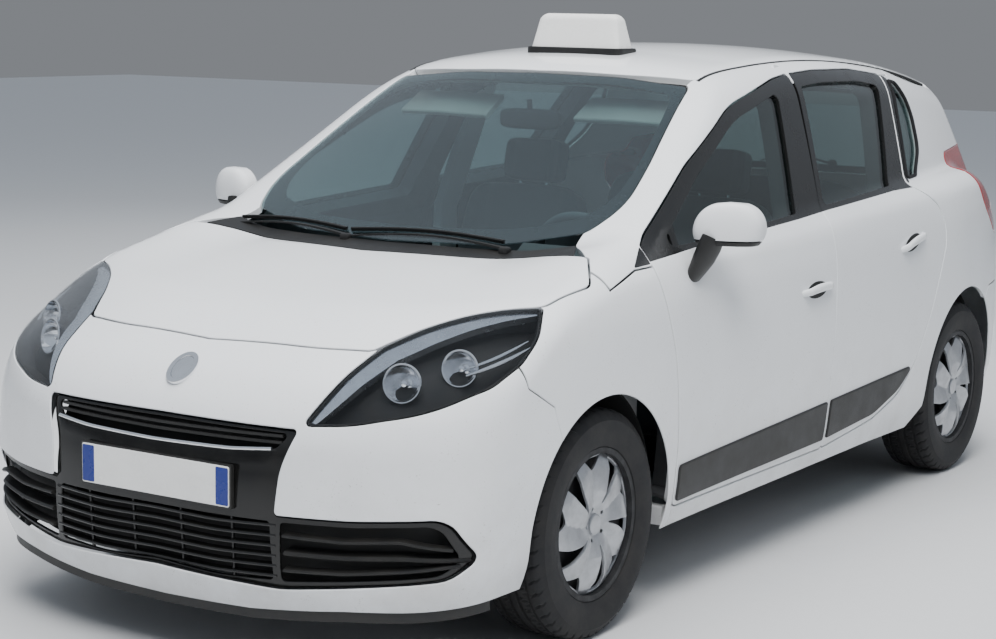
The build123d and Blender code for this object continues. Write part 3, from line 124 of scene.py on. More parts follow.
@dataclass(frozen=True)
class CarForm:
    """The car's outer form as a distance field, from short tables in millimetres."""

    # Half width of the body in plan: y, x
    plan: tuple = (
        (-1900, 862), (-1600, 890), (-1306, 902), (-900, 897), (0, 903), (900, 908), (1396, 908),
        (1700, 876), (2000, 806)
    )
    # How far the side stands in from the plan: height at a waist of 1075, offset
    side: tuple = (
        (150, -95), (220, -50), (300, -20), (450, -4), (600, 0), (750, -4), (880, -14), (980, -30),
        (1040, -48), (1110, -90)
    )
    # Crown of the bonnet and nose on the centre line: y, z
    bonnet: tuple = (
        (-2150, 690), (-2110, 745), (-2060, 790), (-2000, 832), (-1917, 872), (-1700, 935), (-1500, 978),
        (-1300, 1012), (-1100, 1035), (-900, 1052)
    )
    # Line where the side turns in under the windows: y, z
    waist: tuple = ((-1100, 1012), (-700, 1036), (200, 1078), (1000, 1112), (1600, 1130), (2200, 1140))
    # Front and rear faces on the centre line: z, y
    front: tuple = (
        (120, -2070), (180, -2122), (260, -2160), (350, -2172), (450, -2172), (550, -2165), (650, -2150),
        (720, -2120), (780, -2070), (850, -1960)
    )
    rear: tuple = (
        (180, 2105), (300, 2150), (450, 2172), (560, 2170), (640, 2150), (700, 2128), (800, 2112),
        (950, 2060), (1040, 1985), (1120, 1880)
    )
    # Roof, windscreen and tailgate on the centre line: y, z, then z, y
    roof: tuple = (
        (-500, 1440), (-300, 1538), (-150, 1576), (100, 1604), (400, 1619), (700, 1618), (1000, 1604),
        (1300, 1579), (1600, 1542), (1900, 1492)
    )
    screen: tuple = (
        (900, -1330), (1001, -1175), (1100, -1010), (1250, -770), (1400, -530), (1529, -300), (1650, -100)
    )
    tail: tuple = ((950, 2112), (1050, 2078), (1200, 2012), (1350, 1946), (1500, 1880), (1600, 1836))
    # How far the windscreen sweeps back at its sides: z, sweep
    sweep: tuple = ((950, 20), (1100, 38), (1250, 62), (1500, 85))
    # Height of the shoulder that runs over each wing into the pillar: y, height
    shoulder: tuple = ((-1900, 0), (-1500, 6), (-1300, 20), (-1100, 46), (-900, 40), (-700, 0))
    # Half width of the cabin at the waist: y, x
    cabin: tuple = (
        (-1200, 790), (-900, 822), (-500, 838), (0, 846), (700, 846), (1100, 826), (1400, 796), (1700, 756),
        (2000, 706)
    )

    def lower_distance(self, x: np.ndarray, y: np.ndarray, z: np.ndarray) -> np.ndarray:
        """Distance outside the lower body: sides, bonnet, waist, nose and tail, rounded into each other."""
        side = x - (curve(y, self.plan) + curve(z * 1075 / curve(y, self.waist), self.side))
        rise = np.clip((x - 420) / 320, 0, 1)
        shoulder = curve(np.clip(y, -1900, -700), self.shoulder) * rise * rise * (3 - 2 * rise)
        bonnet = z - (curve(y, self.bonnet) - 22 * (x / 800) ** 2.3) - shoulder
        waist = z - curve(y, self.waist) - 20
        back = np.clip((y + 1150) / 200, 0, 1)
        back = back * back * (3 - 2 * back)
        top = bonnet * (1 - back) + (waist - shoulder) * back
        front = curve(z, self.front) + 290 * (x / 900) ** 2.6 - y
        rear = y - (curve(z, self.rear) - 215 * (x / 900) ** 2.8)
        return smooth_max(smooth_max(smooth_max(side, top, 70), front, 130), rear, 110)

    def cabin_distance(self, x: np.ndarray, y: np.ndarray, z: np.ndarray) -> np.ndarray:
        """Distance outside the cabin: its sides, roof, windscreen and tail, each rounded into the next."""
        h = np.maximum(z - 1000, 0)
        side = 0.94 * (x - (curve(y, self.cabin) - 0.33 * h - 0.00009 * h * h))
        roof = z - (curve(y, self.roof) - 45 * (x / 600) ** 2.2)
        lean = curve(np.maximum(z, 950), self.screen) + curve(
            np.clip(z, 950, 1500), self.sweep
        ) * (x / 600) ** 2.2
        screen = 0.53 * (lean - y)
        tail = 0.91 * (y - (curve(np.maximum(z, 1000), self.tail) - 70 * (x / 600) ** 2.4))
        return smooth_max(smooth_max(smooth_max(side, roof, 110), screen, 40), tail, 60)

    def distance(self, points: np.ndarray, part: Field = Field.BODY) -> np.ndarray:
        """Distance outside the form at points whose last axis is x, y, z."""
        x, y, z = np.abs(points[..., 0]), points[..., 1], points[..., 2]
        if part is Field.CABIN:
            return self.cabin_distance(x, y, z)
        if part is Field.LOWER:
            return self.lower_distance(x, y, z)
        return smooth_min(self.lower_distance(x, y, z), self.cabin_distance(x, y, z), 30)

    def cast(
        self, start: np.ndarray, way: np.ndarray, inset: float = 0.0, part: Field = Field.BODY,
        far: float = 2600.0
    ) -> np.ndarray:
        """Where rays from inside reach the form, by halving the span that holds the crossing.

        Args:
            start: points inside the form.
            way: directions, of any length.
            inset: how far inside the form the result lies, in millimetres.
            part: which part of the form.
            far: length of the rays.

        Returns:
            Points on the form.
        """
        start, way = np.broadcast_arrays(start, way)
        way = way / np.linalg.norm(way, axis=-1, keepdims=True)
        low = np.zeros(start.shape[:-1])
        high = np.full(start.shape[:-1], far)
        for _ in range(34):
            middle = (low + high) / 2
            inside = self.distance(start + middle[..., None] * way, part) < -inset
            low = np.where(inside, middle, low)
            high = np.where(inside, high, middle)
        return start + low[..., None] * way

    def normal(self, points: np.ndarray, part: Field = Field.BODY) -> np.ndarray:
        """Outward normals, as the slope of the distance over 2 mm along each axis."""
        steps = np.eye(3) * 2.0
        slope = np.stack(
            [self.distance(points + s, part) - self.distance(points - s, part) for s in steps], -1
        )
        return slope / np.linalg.norm(slope, axis=-1, keepdims=True)


FORM = CarForm()


class View:
    """A way of looking at a surface: it turns points into flat coordinates, and those back into points."""

    def flat(self, points: np.ndarray) -> np.ndarray:
        """Flat coordinates of points."""
        raise NotImplementedError

    def rays(self, flat: np.ndarray) -> tuple[np.ndarray, np.ndarray]:
        """Starts and directions of the rays at flat coordinates."""
        raise NotImplementedError

    def lift(self, flat: np.ndarray, inset: float = 0.0, part: Field = Field.BODY) -> np.ndarray:
        """Points of the surface at flat coordinates."""
        start, way = self.rays(np.asarray(flat, float))
        return FORM.cast(start, way, inset, part)

    def normal(self, points: np.ndarray, part: Field = Field.BODY) -> np.ndarray:
        """Outward normals at points of the surface."""
        return FORM.normal(points, part)


@dataclass(frozen=True)
class Along(View):
    """Looks along one axis, from a level inside the form: flat coordinates are the other two axes."""

    axis: int
    sign: float = 1.0
    level: float = 0.0

    def flat(self, points: np.ndarray) -> np.ndarray:
        """The two coordinates across the axis."""
        return np.delete(points, self.axis, axis=-1)

    def rays(self, flat: np.ndarray) -> tuple[np.ndarray, np.ndarray]:
        """Parallel rays along the axis."""
        return np.insert(flat, self.axis, self.level, axis=-1), np.eye(3)[self.axis] * self.sign


@dataclass(frozen=True)
class Barrel(View):
    """Looks out from a line along Y: flat coordinates are y and the angle, as a length at a radius."""

    x: float = 150.0
    z: float = 700.0
    radius: float = 850.0

    def flat(self, points: np.ndarray) -> np.ndarray:
        """y, and the angle above level as a length."""
        angle = np.arctan2(points[..., 2] - self.z, points[..., 0] - self.x)
        return np.stack([points[..., 1], angle * self.radius], -1)

    def rays(self, flat: np.ndarray) -> tuple[np.ndarray, np.ndarray]:
        """Rays square to the line."""
        angle = flat[..., 1] / self.radius
        start = np.stack([0 * angle + self.x, flat[..., 0], 0 * angle + self.z], -1)
        return start, np.stack([np.cos(angle), 0 * angle, np.sin(angle)], -1)


@dataclass(frozen=True)
class Hub(View):
    """Looks out from a point: flat coordinates are the bearing and the rise, as lengths at a radius."""

    x: float = 0.0
    y: float = -1300.0
    z: float = 250.0
    facing: float = -1.0
    radius: float = 850.0

    def flat(self, points: np.ndarray) -> np.ndarray:
        """Bearing from the facing way, and rise over level distance."""
        d = points - np.array([self.x, self.y, self.z])
        level = np.hypot(d[..., 0], d[..., 1])
        return np.stack(
            [np.arctan2(d[..., 0], self.facing * d[..., 1]), d[..., 2] / level], -1
        ) * self.radius

    def rays(self, flat: np.ndarray) -> tuple[np.ndarray, np.ndarray]:
        """Rays from the point."""
        bearing, rise = flat[..., 0] / self.radius, flat[..., 1] / self.radius
        way = np.stack([np.sin(bearing), self.facing * np.cos(bearing), rise], -1)
        return np.array([self.x, self.y, self.z]), way


@dataclass(frozen=True)
class Slant(View):
    """Looks along a slanting direction from a point inside: flat coordinates are across it."""

    way: tuple = (0.5, -0.65, 0.55)
    through: tuple = (500.0, -1500.0, 620.0)

    def axes(self) -> np.ndarray:
        """Right, up and outward directions, as rows."""
        out = np.array(self.way) / np.linalg.norm(self.way)
        right = np.cross([0, 0, 1.0], out)
        right /= np.linalg.norm(right)
        return np.stack([right, np.cross(out, right), out])

    def flat(self, points: np.ndarray) -> np.ndarray:
        """Coordinates across the direction."""
        return (points - np.array(self.through)) @ self.axes()[:2].T

    def rays(self, flat: np.ndarray) -> tuple[np.ndarray, np.ndarray]:
        """Parallel rays."""
        return np.array(self.through) + flat @ self.axes()[:2], self.axes()[2]


@dataclass(frozen=True)
class Plain(View):
    """A flat face: flat coordinates run along two directions from an origin."""

    origin: tuple
    right: tuple
    up: tuple

    def axes(self) -> np.ndarray:
        """Right, up and outward directions, as rows."""
        right = np.array(self.right, float) / np.linalg.norm(self.right)
        up = np.array(self.up, float) / np.linalg.norm(self.up)
        return np.stack([right, up, np.cross(right, up)])

    def flat(self, points: np.ndarray) -> np.ndarray:
        """Coordinates along the two directions."""
        return (points - np.array(self.origin)) @ self.axes()[:2].T

    def lift(self, flat: np.ndarray, inset: float = 0.0, part: Field = Field.BODY) -> np.ndarray:
        """Points of the face."""
        axes = self.axes()
        return np.array(self.origin) + np.asarray(flat, float) @ axes[:2] - inset * axes[2]

    def normal(self, points: np.ndarray, part: Field = Field.BODY) -> np.ndarray:
        """The face's direction at every point."""
        return np.broadcast_to(self.axes()[2], points.shape)


SIDE = Along(0, 1.0, 0.0)
TOP = Along(2, 1.0, 600.0)
FRONT = Along(1, -1.0, -1300.0)
REAR = Along(1, 1.0, 1300.0)
BARREL = Barrel()
NOSE = Hub()
STERN = Hub(0.0, 1250.0, 400.0, 1.0)
CORNER = Hub(0.0, 1250.0, 700.0, 1.0)
LAMP = Slant()
# Lower starts for the windscreen and the tailgate, which lean over the cabin
FRONT_LOW = Along(1, -1.0, 100.0)
TAIL_VIEW = Along(1, 1.0, 900.0)


def rounded(rows: Rows, step: float = 20.0) -> np.ndarray:
    """Closed outline through corners, each rounded by an arc, with points about one step apart.

    Args:
        rows: corners as a, b and corner radius.
        step: greatest distance between points.

    Returns:
        Points of the outline, in order, as an array of two columns.
    """
    corners = np.array([row[:2] for row in rows], float)
    pieces = []
    for i, row in enumerate(rows):
        corner, before, after = corners[i], corners[i - 1], corners[(i + 1) % len(rows)]
        u, v = before - corner, after - corner
        lu, lv = np.linalg.norm(u), np.linalg.norm(v)
        u, v = u / lu, v / lv
        half = math.acos(float(np.clip(u @ v, -1, 1))) / 2
        radius = row[2] if len(row) > 2 else 0.0
        reach = min(radius / math.tan(half), 0.48 * min(lu, lv)) if radius else 0.0
        if reach < 0.05:
            pieces.append(corner[None])
            continue
        radius = reach * math.tan(half)
        centre = corner + (u + v) / np.linalg.norm(u + v) * radius / math.sin(half)
        first, last = corner + u * reach - centre, corner + v * reach - centre
        turn = math.pi - 2 * half
        count = max(3, int(math.ceil(max(turn * radius / step, turn / 0.25))) + 1)
        sense = math.copysign(1.0, first[0] * last[1] - first[1] * last[0])
        a = np.linspace(0, turn, count) * sense + math.atan2(first[1], first[0])
        pieces.append(centre + radius * np.stack([np.cos(a), np.sin(a)], 1))
    return spaced(np.concatenate(pieces), step)


def spaced(points: np.ndarray, step: float) -> np.ndarray:
    """A closed line with points added so that no run is longer than a step, and near doubles dropped."""
    gap = np.linalg.norm(points - np.roll(points, 1, axis=0), axis=1)
    points = points[gap > 0.3]
    following = np.roll(points, -1, axis=0)
    length = np.linalg.norm(following - points, axis=1)
    counts = np.maximum(1, np.ceil(length / step).astype(int))
    index = np.repeat(np.arange(len(points)), counts)
    share = np.concatenate([np.arange(c) / c for c in counts])
    return points[index] + (following - points)[index] * share[:, None]


def inside(points: np.ndarray, loop: np.ndarray) -> np.ndarray:
    """Which points lie inside a closed flat line, by counting the sides that a ray crosses."""
    a, b = loop, np.roll(loop, -1, axis=0)
    x, y = points[:, None, 0], points[:, None, 1]
    crosses = (a[None, :, 1] > y) != (b[None, :, 1] > y)
    rise = np.where(b[:, 1] == a[:, 1], 1e-9, b[:, 1] - a[:, 1])
    at = a[None, :, 0] + (y - a[None, :, 1]) * ((b[:, 0] - a[:, 0]) / rise)[None]
    return (np.sum(crosses & (x < at), axis=1) % 2) == 1


def nearness(points: np.ndarray, loop: np.ndarray) -> np.ndarray:
    """Distance from each point to a closed flat line."""
    a, d = loop, np.roll(loop, -1, axis=0) - loop
    w = points[:, None] - a[None]
    t = np.clip(np.sum(w * d, 2) / np.maximum(np.sum(d * d, 1), 1e-9), 0, 1)
    return np.min(np.linalg.norm(w - t[..., None] * d, axis=2), axis=1)


def offset(loop: np.ndarray, amount: float) -> np.ndarray:
    """A closed flat line moved out of its inside by an amount, with mitred corners.

    Args:
        loop: points of the line, in either sense.
        amount: how far out, or in if negative.

    Returns:
        The moved points.
    """
    following = np.roll(loop, -1, axis=0)
    area = np.sum(loop[:, 0] * following[:, 1] - following[:, 0] * loop[:, 1])
    edge = following - loop
    edge /= np.maximum(np.linalg.norm(edge, axis=1, keepdims=True), 1e-9)
    out = np.stack([edge[:, 1], -edge[:, 0]], 1) * math.copysign(1, area)
    before = np.roll(out, 1, axis=0)
    return loop + amount * (out + before) / np.maximum(1 + np.sum(out * before, axis=1), 0.35)[:, None]


def filled(outer: np.ndarray, cuts: list[np.ndarray], spacing: float) -> tuple[np.ndarray, np.ndarray]:
    """Triangles that fill what lies inside one flat line and outside others, which may cross it.

    Args:
        outer: the line that holds the area.
        cuts: lines whose insides are taken away.
        spacing: size of the staggered grid between them.

    Returns:
        The flat points and the triangles, all turned the same way.
    """
    low, high = outer.min(0), outer.max(0)
    u = np.arange(low[0] + spacing / 3, high[0], spacing)
    v = np.arange(low[1] + spacing / 3, high[1], spacing * 0.87)
    grid = np.stack(np.meshgrid(u, v, indexing="ij"), -1)
    grid[:, 1::2, 0] += spacing / 2
    grid = grid.reshape(-1, 2)
    grid = grid[inside(grid, outer)]
    for cut in cuts:
        grid = grid[~inside(grid, cut)]
    loops = [outer, *cuts]
    for loop in loops:
        grid = grid[nearness(grid, loop) > 0.45 * spacing]
    edges, at = [], 0
    for loop in loops:
        i = np.arange(len(loop))
        edges.append(np.stack([i, (i + 1) % len(loop)], 1) + at)
        at += len(loop)
    points = np.concatenate([*loops, grid])
    out = delaunay_2d_cdt(
        [Vector(p) for p in points.tolist()], np.concatenate(edges).tolist(), [], 0, 1e-4, True
    )
    flat = np.array([v[:] for v in out[0]])
    triangles = np.array([f for f in out[2] if len(f) == 3])
    a, b, c = np.moveaxis(flat[triangles], 1, 0)
    double = (b[:, 0] - a[:, 0]) * (c[:, 1] - a[:, 1]) - (b[:, 1] - a[:, 1]) * (c[:, 0] - a[:, 0])
    triangles = np.where((double < 0)[:, None], triangles[:, ::-1], triangles)[np.abs(double) > 1e-4]
    middle = flat[triangles].mean(1)
    keep = inside(middle, outer)
    for cut in cuts:
        keep &= ~inside(middle, cut)
    used, index = np.unique(triangles[keep], return_inverse=True)
    return flat[used], index.reshape(-1, 3)


@dataclass
class Shape:
    """Points in millimetres, triangles and one normal for each triangle's corner."""

    points: np.ndarray
    triangles: np.ndarray
    normals: np.ndarray | None = None

    def mirrored(self) -> "Shape":
        """The same shape on the car's right side."""
        flip = np.array([-1.0, 1, 1])
        normals = None if self.normals is None else self.normals[:, ::-1] * flip
        return Shape(self.points * flip, self.triangles[:, ::-1], normals)

    def plus(self, *others: "Shape") -> "Shape":
        """This shape and others in one mesh."""
        every = [self, *others]
        at = np.cumsum([0] + [len(s.points) for s in every[:-1]])
        triangles = np.concatenate([s.triangles + a for s, a in zip(every, at)])
        normals = None
        if all(s.normals is not None for s in every):
            normals = np.concatenate([s.normals for s in every])
        return Shape(np.concatenate([s.points for s in every]), triangles, normals)

    def moved(self, x: float = 0.0, y: float = 0.0, z: float = 0.0) -> "Shape":
        """The shape shifted in millimetres."""
        return Shape(self.points + np.array([x, y, z]), self.triangles, self.normals)

    def split(self, keep: np.ndarray) -> "Shape":
        """The triangles marked, with the points left as they are."""
        normals = None if self.normals is None else self.normals[keep]
        return Shape(self.points, self.triangles[keep], normals)


@dataclass
class Panel:
    """A piece cut out of a surface by lines on it, with a wall and a rolled edge.

    Its face is filled inside the outer line and outside the cuts. From each edge point, rings turn
    through a quarter circle of the roll's radius and go down to the wall's depth, and the same face
    one wall further in closes it.
    """

    view: View
    outer: np.ndarray
    cuts: tuple = ()
    inset: float = 0.0
    wall: float = 3.0
    roll: float = 2.0
    spacing: float = 24.0
    part: Field = Field.BODY
    rings: int = 3

    def face(self) -> tuple[np.ndarray, np.ndarray, np.ndarray]:
        """Points, triangles and normals of the outer face."""
        outer = offset(self.view.flat(self.outer), -self.roll)
        cuts = [offset(self.view.flat(cut), self.roll) for cut in self.cuts]
        flat, triangles = filled(outer, cuts, self.spacing)
        points = self.view.lift(flat, self.inset, self.part)
        normals = self.view.normal(points, self.part)
        a, b, c = np.moveaxis(points[triangles], 1, 0)
        turned = np.sum(np.cross(b - a, c - a) * normals[triangles[:, 0]], 1)
        return points, (triangles if turned.sum() > 0 else triangles[:, ::-1]), normals

    def shape(self) -> Shape:
        """The closed piece."""
        points, triangles, normals = self.face()
        edges = np.concatenate([triangles[:, [0, 1]], triangles[:, [1, 2]], triangles[:, [2, 0]]])
        key = edges[:, 0] * len(points) + edges[:, 1]
        back = edges[:, 1] * len(points) + edges[:, 0]
        edges = edges[~np.isin(key, back)]
        rim, place = np.unique(edges, return_inverse=True)
        place = place.reshape(-1, 2)
        step = points[edges[:, 1]] - points[edges[:, 0]]
        way = np.cross(step, normals[edges[:, 0]])
        way /= np.maximum(np.linalg.norm(way, axis=1, keepdims=True), 1e-9)
        out = np.zeros((len(rim), 3))
        np.add.at(out, place[:, 0], way)
        np.add.at(out, place[:, 1], way)
        size = np.linalg.norm(out, axis=1, keepdims=True)
        mitre = out / np.maximum(size, 1e-9) / np.maximum(size / 2, 0.6)
        out = out / np.maximum(size, 1e-9)
        up = normals[rim]
        angle = np.linspace(0, math.pi / 2, self.rings + 1)[1:, None, None]
        levels = points[rim] + self.roll * (mitre * np.sin(angle) - up * (1 - np.cos(angle)))
        turns = up * np.cos(angle) + out * np.sin(angle)
        foot = points[rim] + self.roll * mitre - self.wall * up
        shades = [up, *turns, out]
        count = len(points)
        ring_at = [rim] + [count + k * len(rim) + np.arange(len(rim)) for k in range(self.rings + 1)]
        inner_at = count + (self.rings + 1) * len(rim)
        pieces, looks = [triangles], [normals[triangles]]
        for k in range(self.rings + 1):
            a, b = ring_at[k][place[:, 0]], ring_at[k][place[:, 1]]
            c, d = ring_at[k + 1][place[:, 1]], ring_at[k + 1][place[:, 0]]
            na, nb = shades[k][place[:, 0]], shades[k][place[:, 1]]
            nc, nd = shades[k + 1][place[:, 1]], shades[k + 1][place[:, 0]]
            pieces += [np.stack([b, a, d], 1), np.stack([b, d, c], 1)]
            looks += [np.stack([nb, na, nd], 1), np.stack([nb, nd, nc], 1)]
        a, b = ring_at[-1][place[:, 0]], ring_at[-1][place[:, 1]]
        c, d = inner_at + edges[:, 1], inner_at + edges[:, 0]
        down = -up[place[:, 0]]
        pieces += [np.stack([b, a, d], 1), np.stack([b, d, c], 1), inner_at + triangles[:, ::-1]]
        looks += [np.stack([down] * 3, 1)] * 2 + [-normals[triangles[:, ::-1]]]
        every = np.concatenate([points, *levels, foot, points - self.wall * normals])
        return Shape(every, np.concatenate(pieces), np.concatenate(looks))


def on(
    view: View, rows: Rows, grow: float = 0.0, step: float = 16.0, part: Field = Field.BODY
) -> np.ndarray:
    """Closed line on the form over a flat outline of a view, moved out all round by an amount.

    Args:
        view: how the outline is looked at.
        rows: corners as flat a, b and corner radius.
        grow: how far out the line is moved.
        step: greatest distance between points.
        part: which part of the form.

    Returns:
        Points in space.
    """
    flat = rounded(rows, step)
    return view.lift(offset(flat, grow) if grow else flat, 0.0, part)


def trace(view: View, rows: Rows, step: float = 16.0, part: Field = Field.BODY) -> np.ndarray:
    """Open line on the form through flat corners of a view, its inner corners rounded.

    Args:
        view: how the corners are looked at.
        rows: corners as flat a, b and corner radius.
        step: greatest distance between points.
        part: which part of the form.

    Returns:
        Points in space, the first and last corner among them.
    """
    ends = np.array([rows[0][:2], rows[-1][:2]], float)
    closed = rounded(
        [
            (*row[:2], row[2] if len(row) > 2 and 0 < i < len(rows) - 1 else 0.0) for i,
            row in enumerate(rows)
        ],
        step
    )
    first = int(np.argmin(np.linalg.norm(closed - ends[0], axis=1)))
    closed = np.roll(closed, -first, axis=0)
    last = int(np.argmin(np.linalg.norm(closed - ends[1], axis=1)))
    return view.lift(closed[:last + 1], 0.0, part)


def near(view: View, points: Rows, inset: float = 0.0) -> np.ndarray:
    """Points of the form where a view's rays through points in space meet it."""
    return view.lift(view.flat(np.array(points, float)), inset)


def piece(view: View, rows: Rows, cuts: tuple = (), grow: float = 0.0, **sizes: float) -> Shape:
    """Closed panel over a flat outline of a view.

    Args:
        view: how the outline is looked at.
        rows: corners as flat a, b and corner radius.
        cuts: lines on the form whose insides are taken away.
        grow: how far out the outline is moved.
        sizes: inset, wall, roll and spacing of the panel.

    Returns:
        The piece.
    """
    return Panel(view, on(view, rows, grow), cuts, **sizes).shape()


def chain(view: View, *lines: np.ndarray, step: float = 16.0) -> np.ndarray:
    """Closed line in space made of open ones, its joins filled with points in a view's flat coordinates."""
    flat = view.flat(np.concatenate(lines))
    return view.lift(spaced(flat, step))


def both(rows: Rows) -> Rows:
    """A closed outline from its left half, whose first and last points are on the centre line."""
    return [*rows, *((-row[0], *row[1:]) for row in rows[-2:0:-1])]


def flipped(points: np.ndarray) -> np.ndarray:
    """Points on the car's right side."""
    return points * np.array([-1.0, 1, 1])


def arch(axle: float, radius: float, count: int = 64, foot: float = 200.0) -> np.ndarray:
    """Closed line on the form's left side round a wheel arch: half a circle on two upright legs."""
    a = np.linspace(0, math.pi, count)
    bow = np.stack([axle + radius * np.cos(a), HUB_Z + radius * np.sin(a)], 1)
    legs = np.array([(axle - radius, foot), (axle + radius, foot)])
    return SIDE.lift(spaced(np.concatenate([bow, legs]), 16.0))


def surface(
    u: np.ndarray, v: np.ndarray, points: np.ndarray, wrap_u: bool = False, wrap_v: bool = False
) -> Shape:
    """Triangles over a grid of points.

    Args:
        u: first parameter's values, for its count.
        v: second parameter's values, for its count.
        points: array of points, one row for each u and one column for each v.
        wrap_u: whether the last row meets the first.
        wrap_v: whether the last column meets the first.

    Returns:
        The surface, smooth.
    """
    nu, nv = len(u), len(v)
    i, j = np.meshgrid(
        np.arange(nu if wrap_u else nu - 1), np.arange(nv if wrap_v else nv - 1), indexing="ij"
    )
    i, j = i.ravel(), j.ravel()
    k, m = (i + 1) % nu, (j + 1) % nv
    a, b, c, d = i * nv + j, k * nv + j, k * nv + m, i * nv + m
    triangles = np.concatenate([np.stack([a, b, c], 1), np.stack([a, c, d], 1)])
    return Shape(points.reshape(-1, 3), triangles)


def lathe(rows: Rows, count: int = 72) -> Shape:
    """Ring turned about the X axis from a closed outline of x and radius."""
    profile = rounded(rows, 60.0)
    a = np.linspace(0, 2 * math.pi, count, endpoint=False)
    x = np.broadcast_to(profile[:, 0], (len(a), len(profile)))
    r = profile[:, 1]
    points = np.stack([x, r * np.cos(a)[:, None], r * np.sin(a)[:, None]], -1)
    return outwards(surface(a, profile, points, wrap_u=True, wrap_v=True))


def outwards(shape: Shape) -> Shape:
    """The shape with its triangles turned so that it holds a positive volume."""
    a, b, c = np.moveaxis(shape.points[shape.triangles], 1, 0)
    if np.sum(np.cross(a, b) * c) < 0:
        return Shape(shape.points, shape.triangles[:, ::-1])
    return shape


def tube(
    path: np.ndarray, section: np.ndarray, up: tuple = (0, 0, 1), closed: bool = False,
    scale: np.ndarray | None = None
) -> Shape:
    """A section carried along a path, upright to a direction, with flat ends.

    Args:
        path: points of the path, in millimetres.
        section: closed outline across the path, as sideways and up.
        up: direction that stays up in the section.
        closed: whether the path joins its start.
        scale: factor on the section at each point of the path.

    Returns:
        The closed tube.
    """
    path = np.asarray(path, float)
    if closed:
        way = np.roll(path, -1, 0) - np.roll(path, 1, 0)
    else:
        way = np.gradient(path, axis=0)
    way /= np.linalg.norm(way, axis=1, keepdims=True)
    side = np.cross(way, np.broadcast_to(np.array(up, float), way.shape))
    side /= np.maximum(np.linalg.norm(side, axis=1, keepdims=True), 1e-9)
    rise = np.cross(side, way)
    size = np.ones(len(path)) if scale is None else scale
    flat = np.asarray(section, float)[None] * size[:, None, None]
    points = path[:, None] + flat[..., :1] * side[:, None] + flat[..., 1:] * rise[:, None]
    shape = surface(path, section, points, wrap_u=closed, wrap_v=True)
    if not closed:
        n, last = len(section), len(path) - 1
        caps, centres = [], []
        for row, centre in ((0, path[0]), (last, path[last])):
            i = np.arange(n)
            at = len(shape.points) + len(centres)
            ring = np.stack([row * n + i, row * n + (i + 1) % n, np.full(n, at)], 1)
            caps.append(ring if row else ring[:, ::-1])
            centres.append(centre)
        shape = Shape(np.concatenate([shape.points, centres]), np.concatenate([shape.triangles, *caps]))
    return outwards(shape)


def disc_section(radius: float, count: int = 12, flat: float = 1.0) -> np.ndarray:
    """Round section, squashed upright by a factor."""
    a = np.linspace(0, 2 * math.pi, count, endpoint=False)
    return np.stack([radius * np.cos(a), radius * flat * np.sin(a)], 1)


def soft(value: np.ndarray, power: float) -> np.ndarray:
    """A sine or cosine raised to a power with its sign kept, which squares what it draws."""
    return np.sign(value) * np.abs(value) ** power


def pillow(count: tuple[int, int], power: float) -> tuple[np.ndarray, ...]:
    """Turn, rise and the x, y and z of a superellipsoid of half size 1, by rows round and columns up."""
    a = np.linspace(-math.pi, math.pi, count[0], endpoint=False)
    b = np.linspace(-math.pi / 2, math.pi / 2, count[1])
    ca, sa = soft(np.cos(a), power)[:, None], soft(np.sin(a), power)[:, None]
    cb, sb = soft(np.cos(b), power), soft(np.sin(b), power)
    return a, b, ca * cb, sa * cb, sb + 0 * ca


def blob(centre: tuple, half: tuple, power: float = 0.5, count: tuple = (40, 24)) -> Shape:
    """Rounded box, as a superellipsoid: each cosine and sine is raised to a power, which squares it.

    Args:
        centre: middle point.
        half: half sizes along x, y and z.
        power: 1 for an ellipsoid, towards 0 for a box.
        count: points round and up.

    Returns:
        The closed surface.
    """
    a, b, x, y, z = pillow(count, power)
    points = np.stack([half[0] * x, half[1] * y, half[2] * z], -1) + np.array(centre, float)
    return outwards(surface(a, b, points, wrap_u=True))


def box(low: tuple, high: tuple, roll: float = 4.0) -> Shape:
    """Box with its upper and lower edges rolled: two plain panels back to back."""
    low, high = np.array(low, float), np.array(high, float)
    wide, long, tall = high - low
    rows = [(0, 0, roll), (wide, 0, roll), (wide, long, roll), (0, long, roll)]
    top = Plain((low[0], low[1], high[2]), (1, 0, 0), (0, 1, 0))
    outer = top.lift(rounded(rows, 200.0))
    upper = Panel(top, outer, wall=tall / 2, roll=min(roll, tall / 3), spacing=400.0).shape()
    under = Plain((low[0], high[1], low[2]), (1, 0, 0), (0, -1, 0))
    outer = under.lift(rounded(rows, 200.0))
    return upper.plus(Panel(under, outer, wall=tall / 2, roll=min(roll, tall / 3), spacing=400.0).shape())


def slab(
    face: Plain, half: tuple, corner: float, x: float = 0.0, step: float = 20.0, **panel: float
) -> Shape:
    """Thin rounded plate on a flat face.

    Args:
        face: the face that it lies on.
        half: half width and half height.
        corner: radius of its corners.
        x: where its middle is, along the face's right.
        step: greatest distance between points of its outline.
        panel: wall, roll and the other sizes of the panel.

    Returns:
        The closed plate.
    """
    wide, high = half
    rows = [
        (x - wide, -high, corner), (x + wide, -high, corner), (x + wide, high, corner),
        (x - wide, high, corner)
    ]
    return Panel(face, face.lift(rounded(rows, step)), **panel).shape()


def wheel_path(centre: tuple, axis: tuple, radius: float, count: int) -> np.ndarray:
    """Points of a circle about an axis, the first one level."""
    axis = np.array(axis, float) / np.linalg.norm(axis)
    right = np.cross(axis, [0, 0, 1.0])
    right = right / np.linalg.norm(right) if np.linalg.norm(right) > 1e-6 else np.array([1.0, 0, 0])
    up = np.cross(right, axis)
    a = np.linspace(0, 2 * math.pi, count, endpoint=False)[:, None]
    return np.array(centre) + radius * (np.cos(a) * right + np.sin(a) * up)


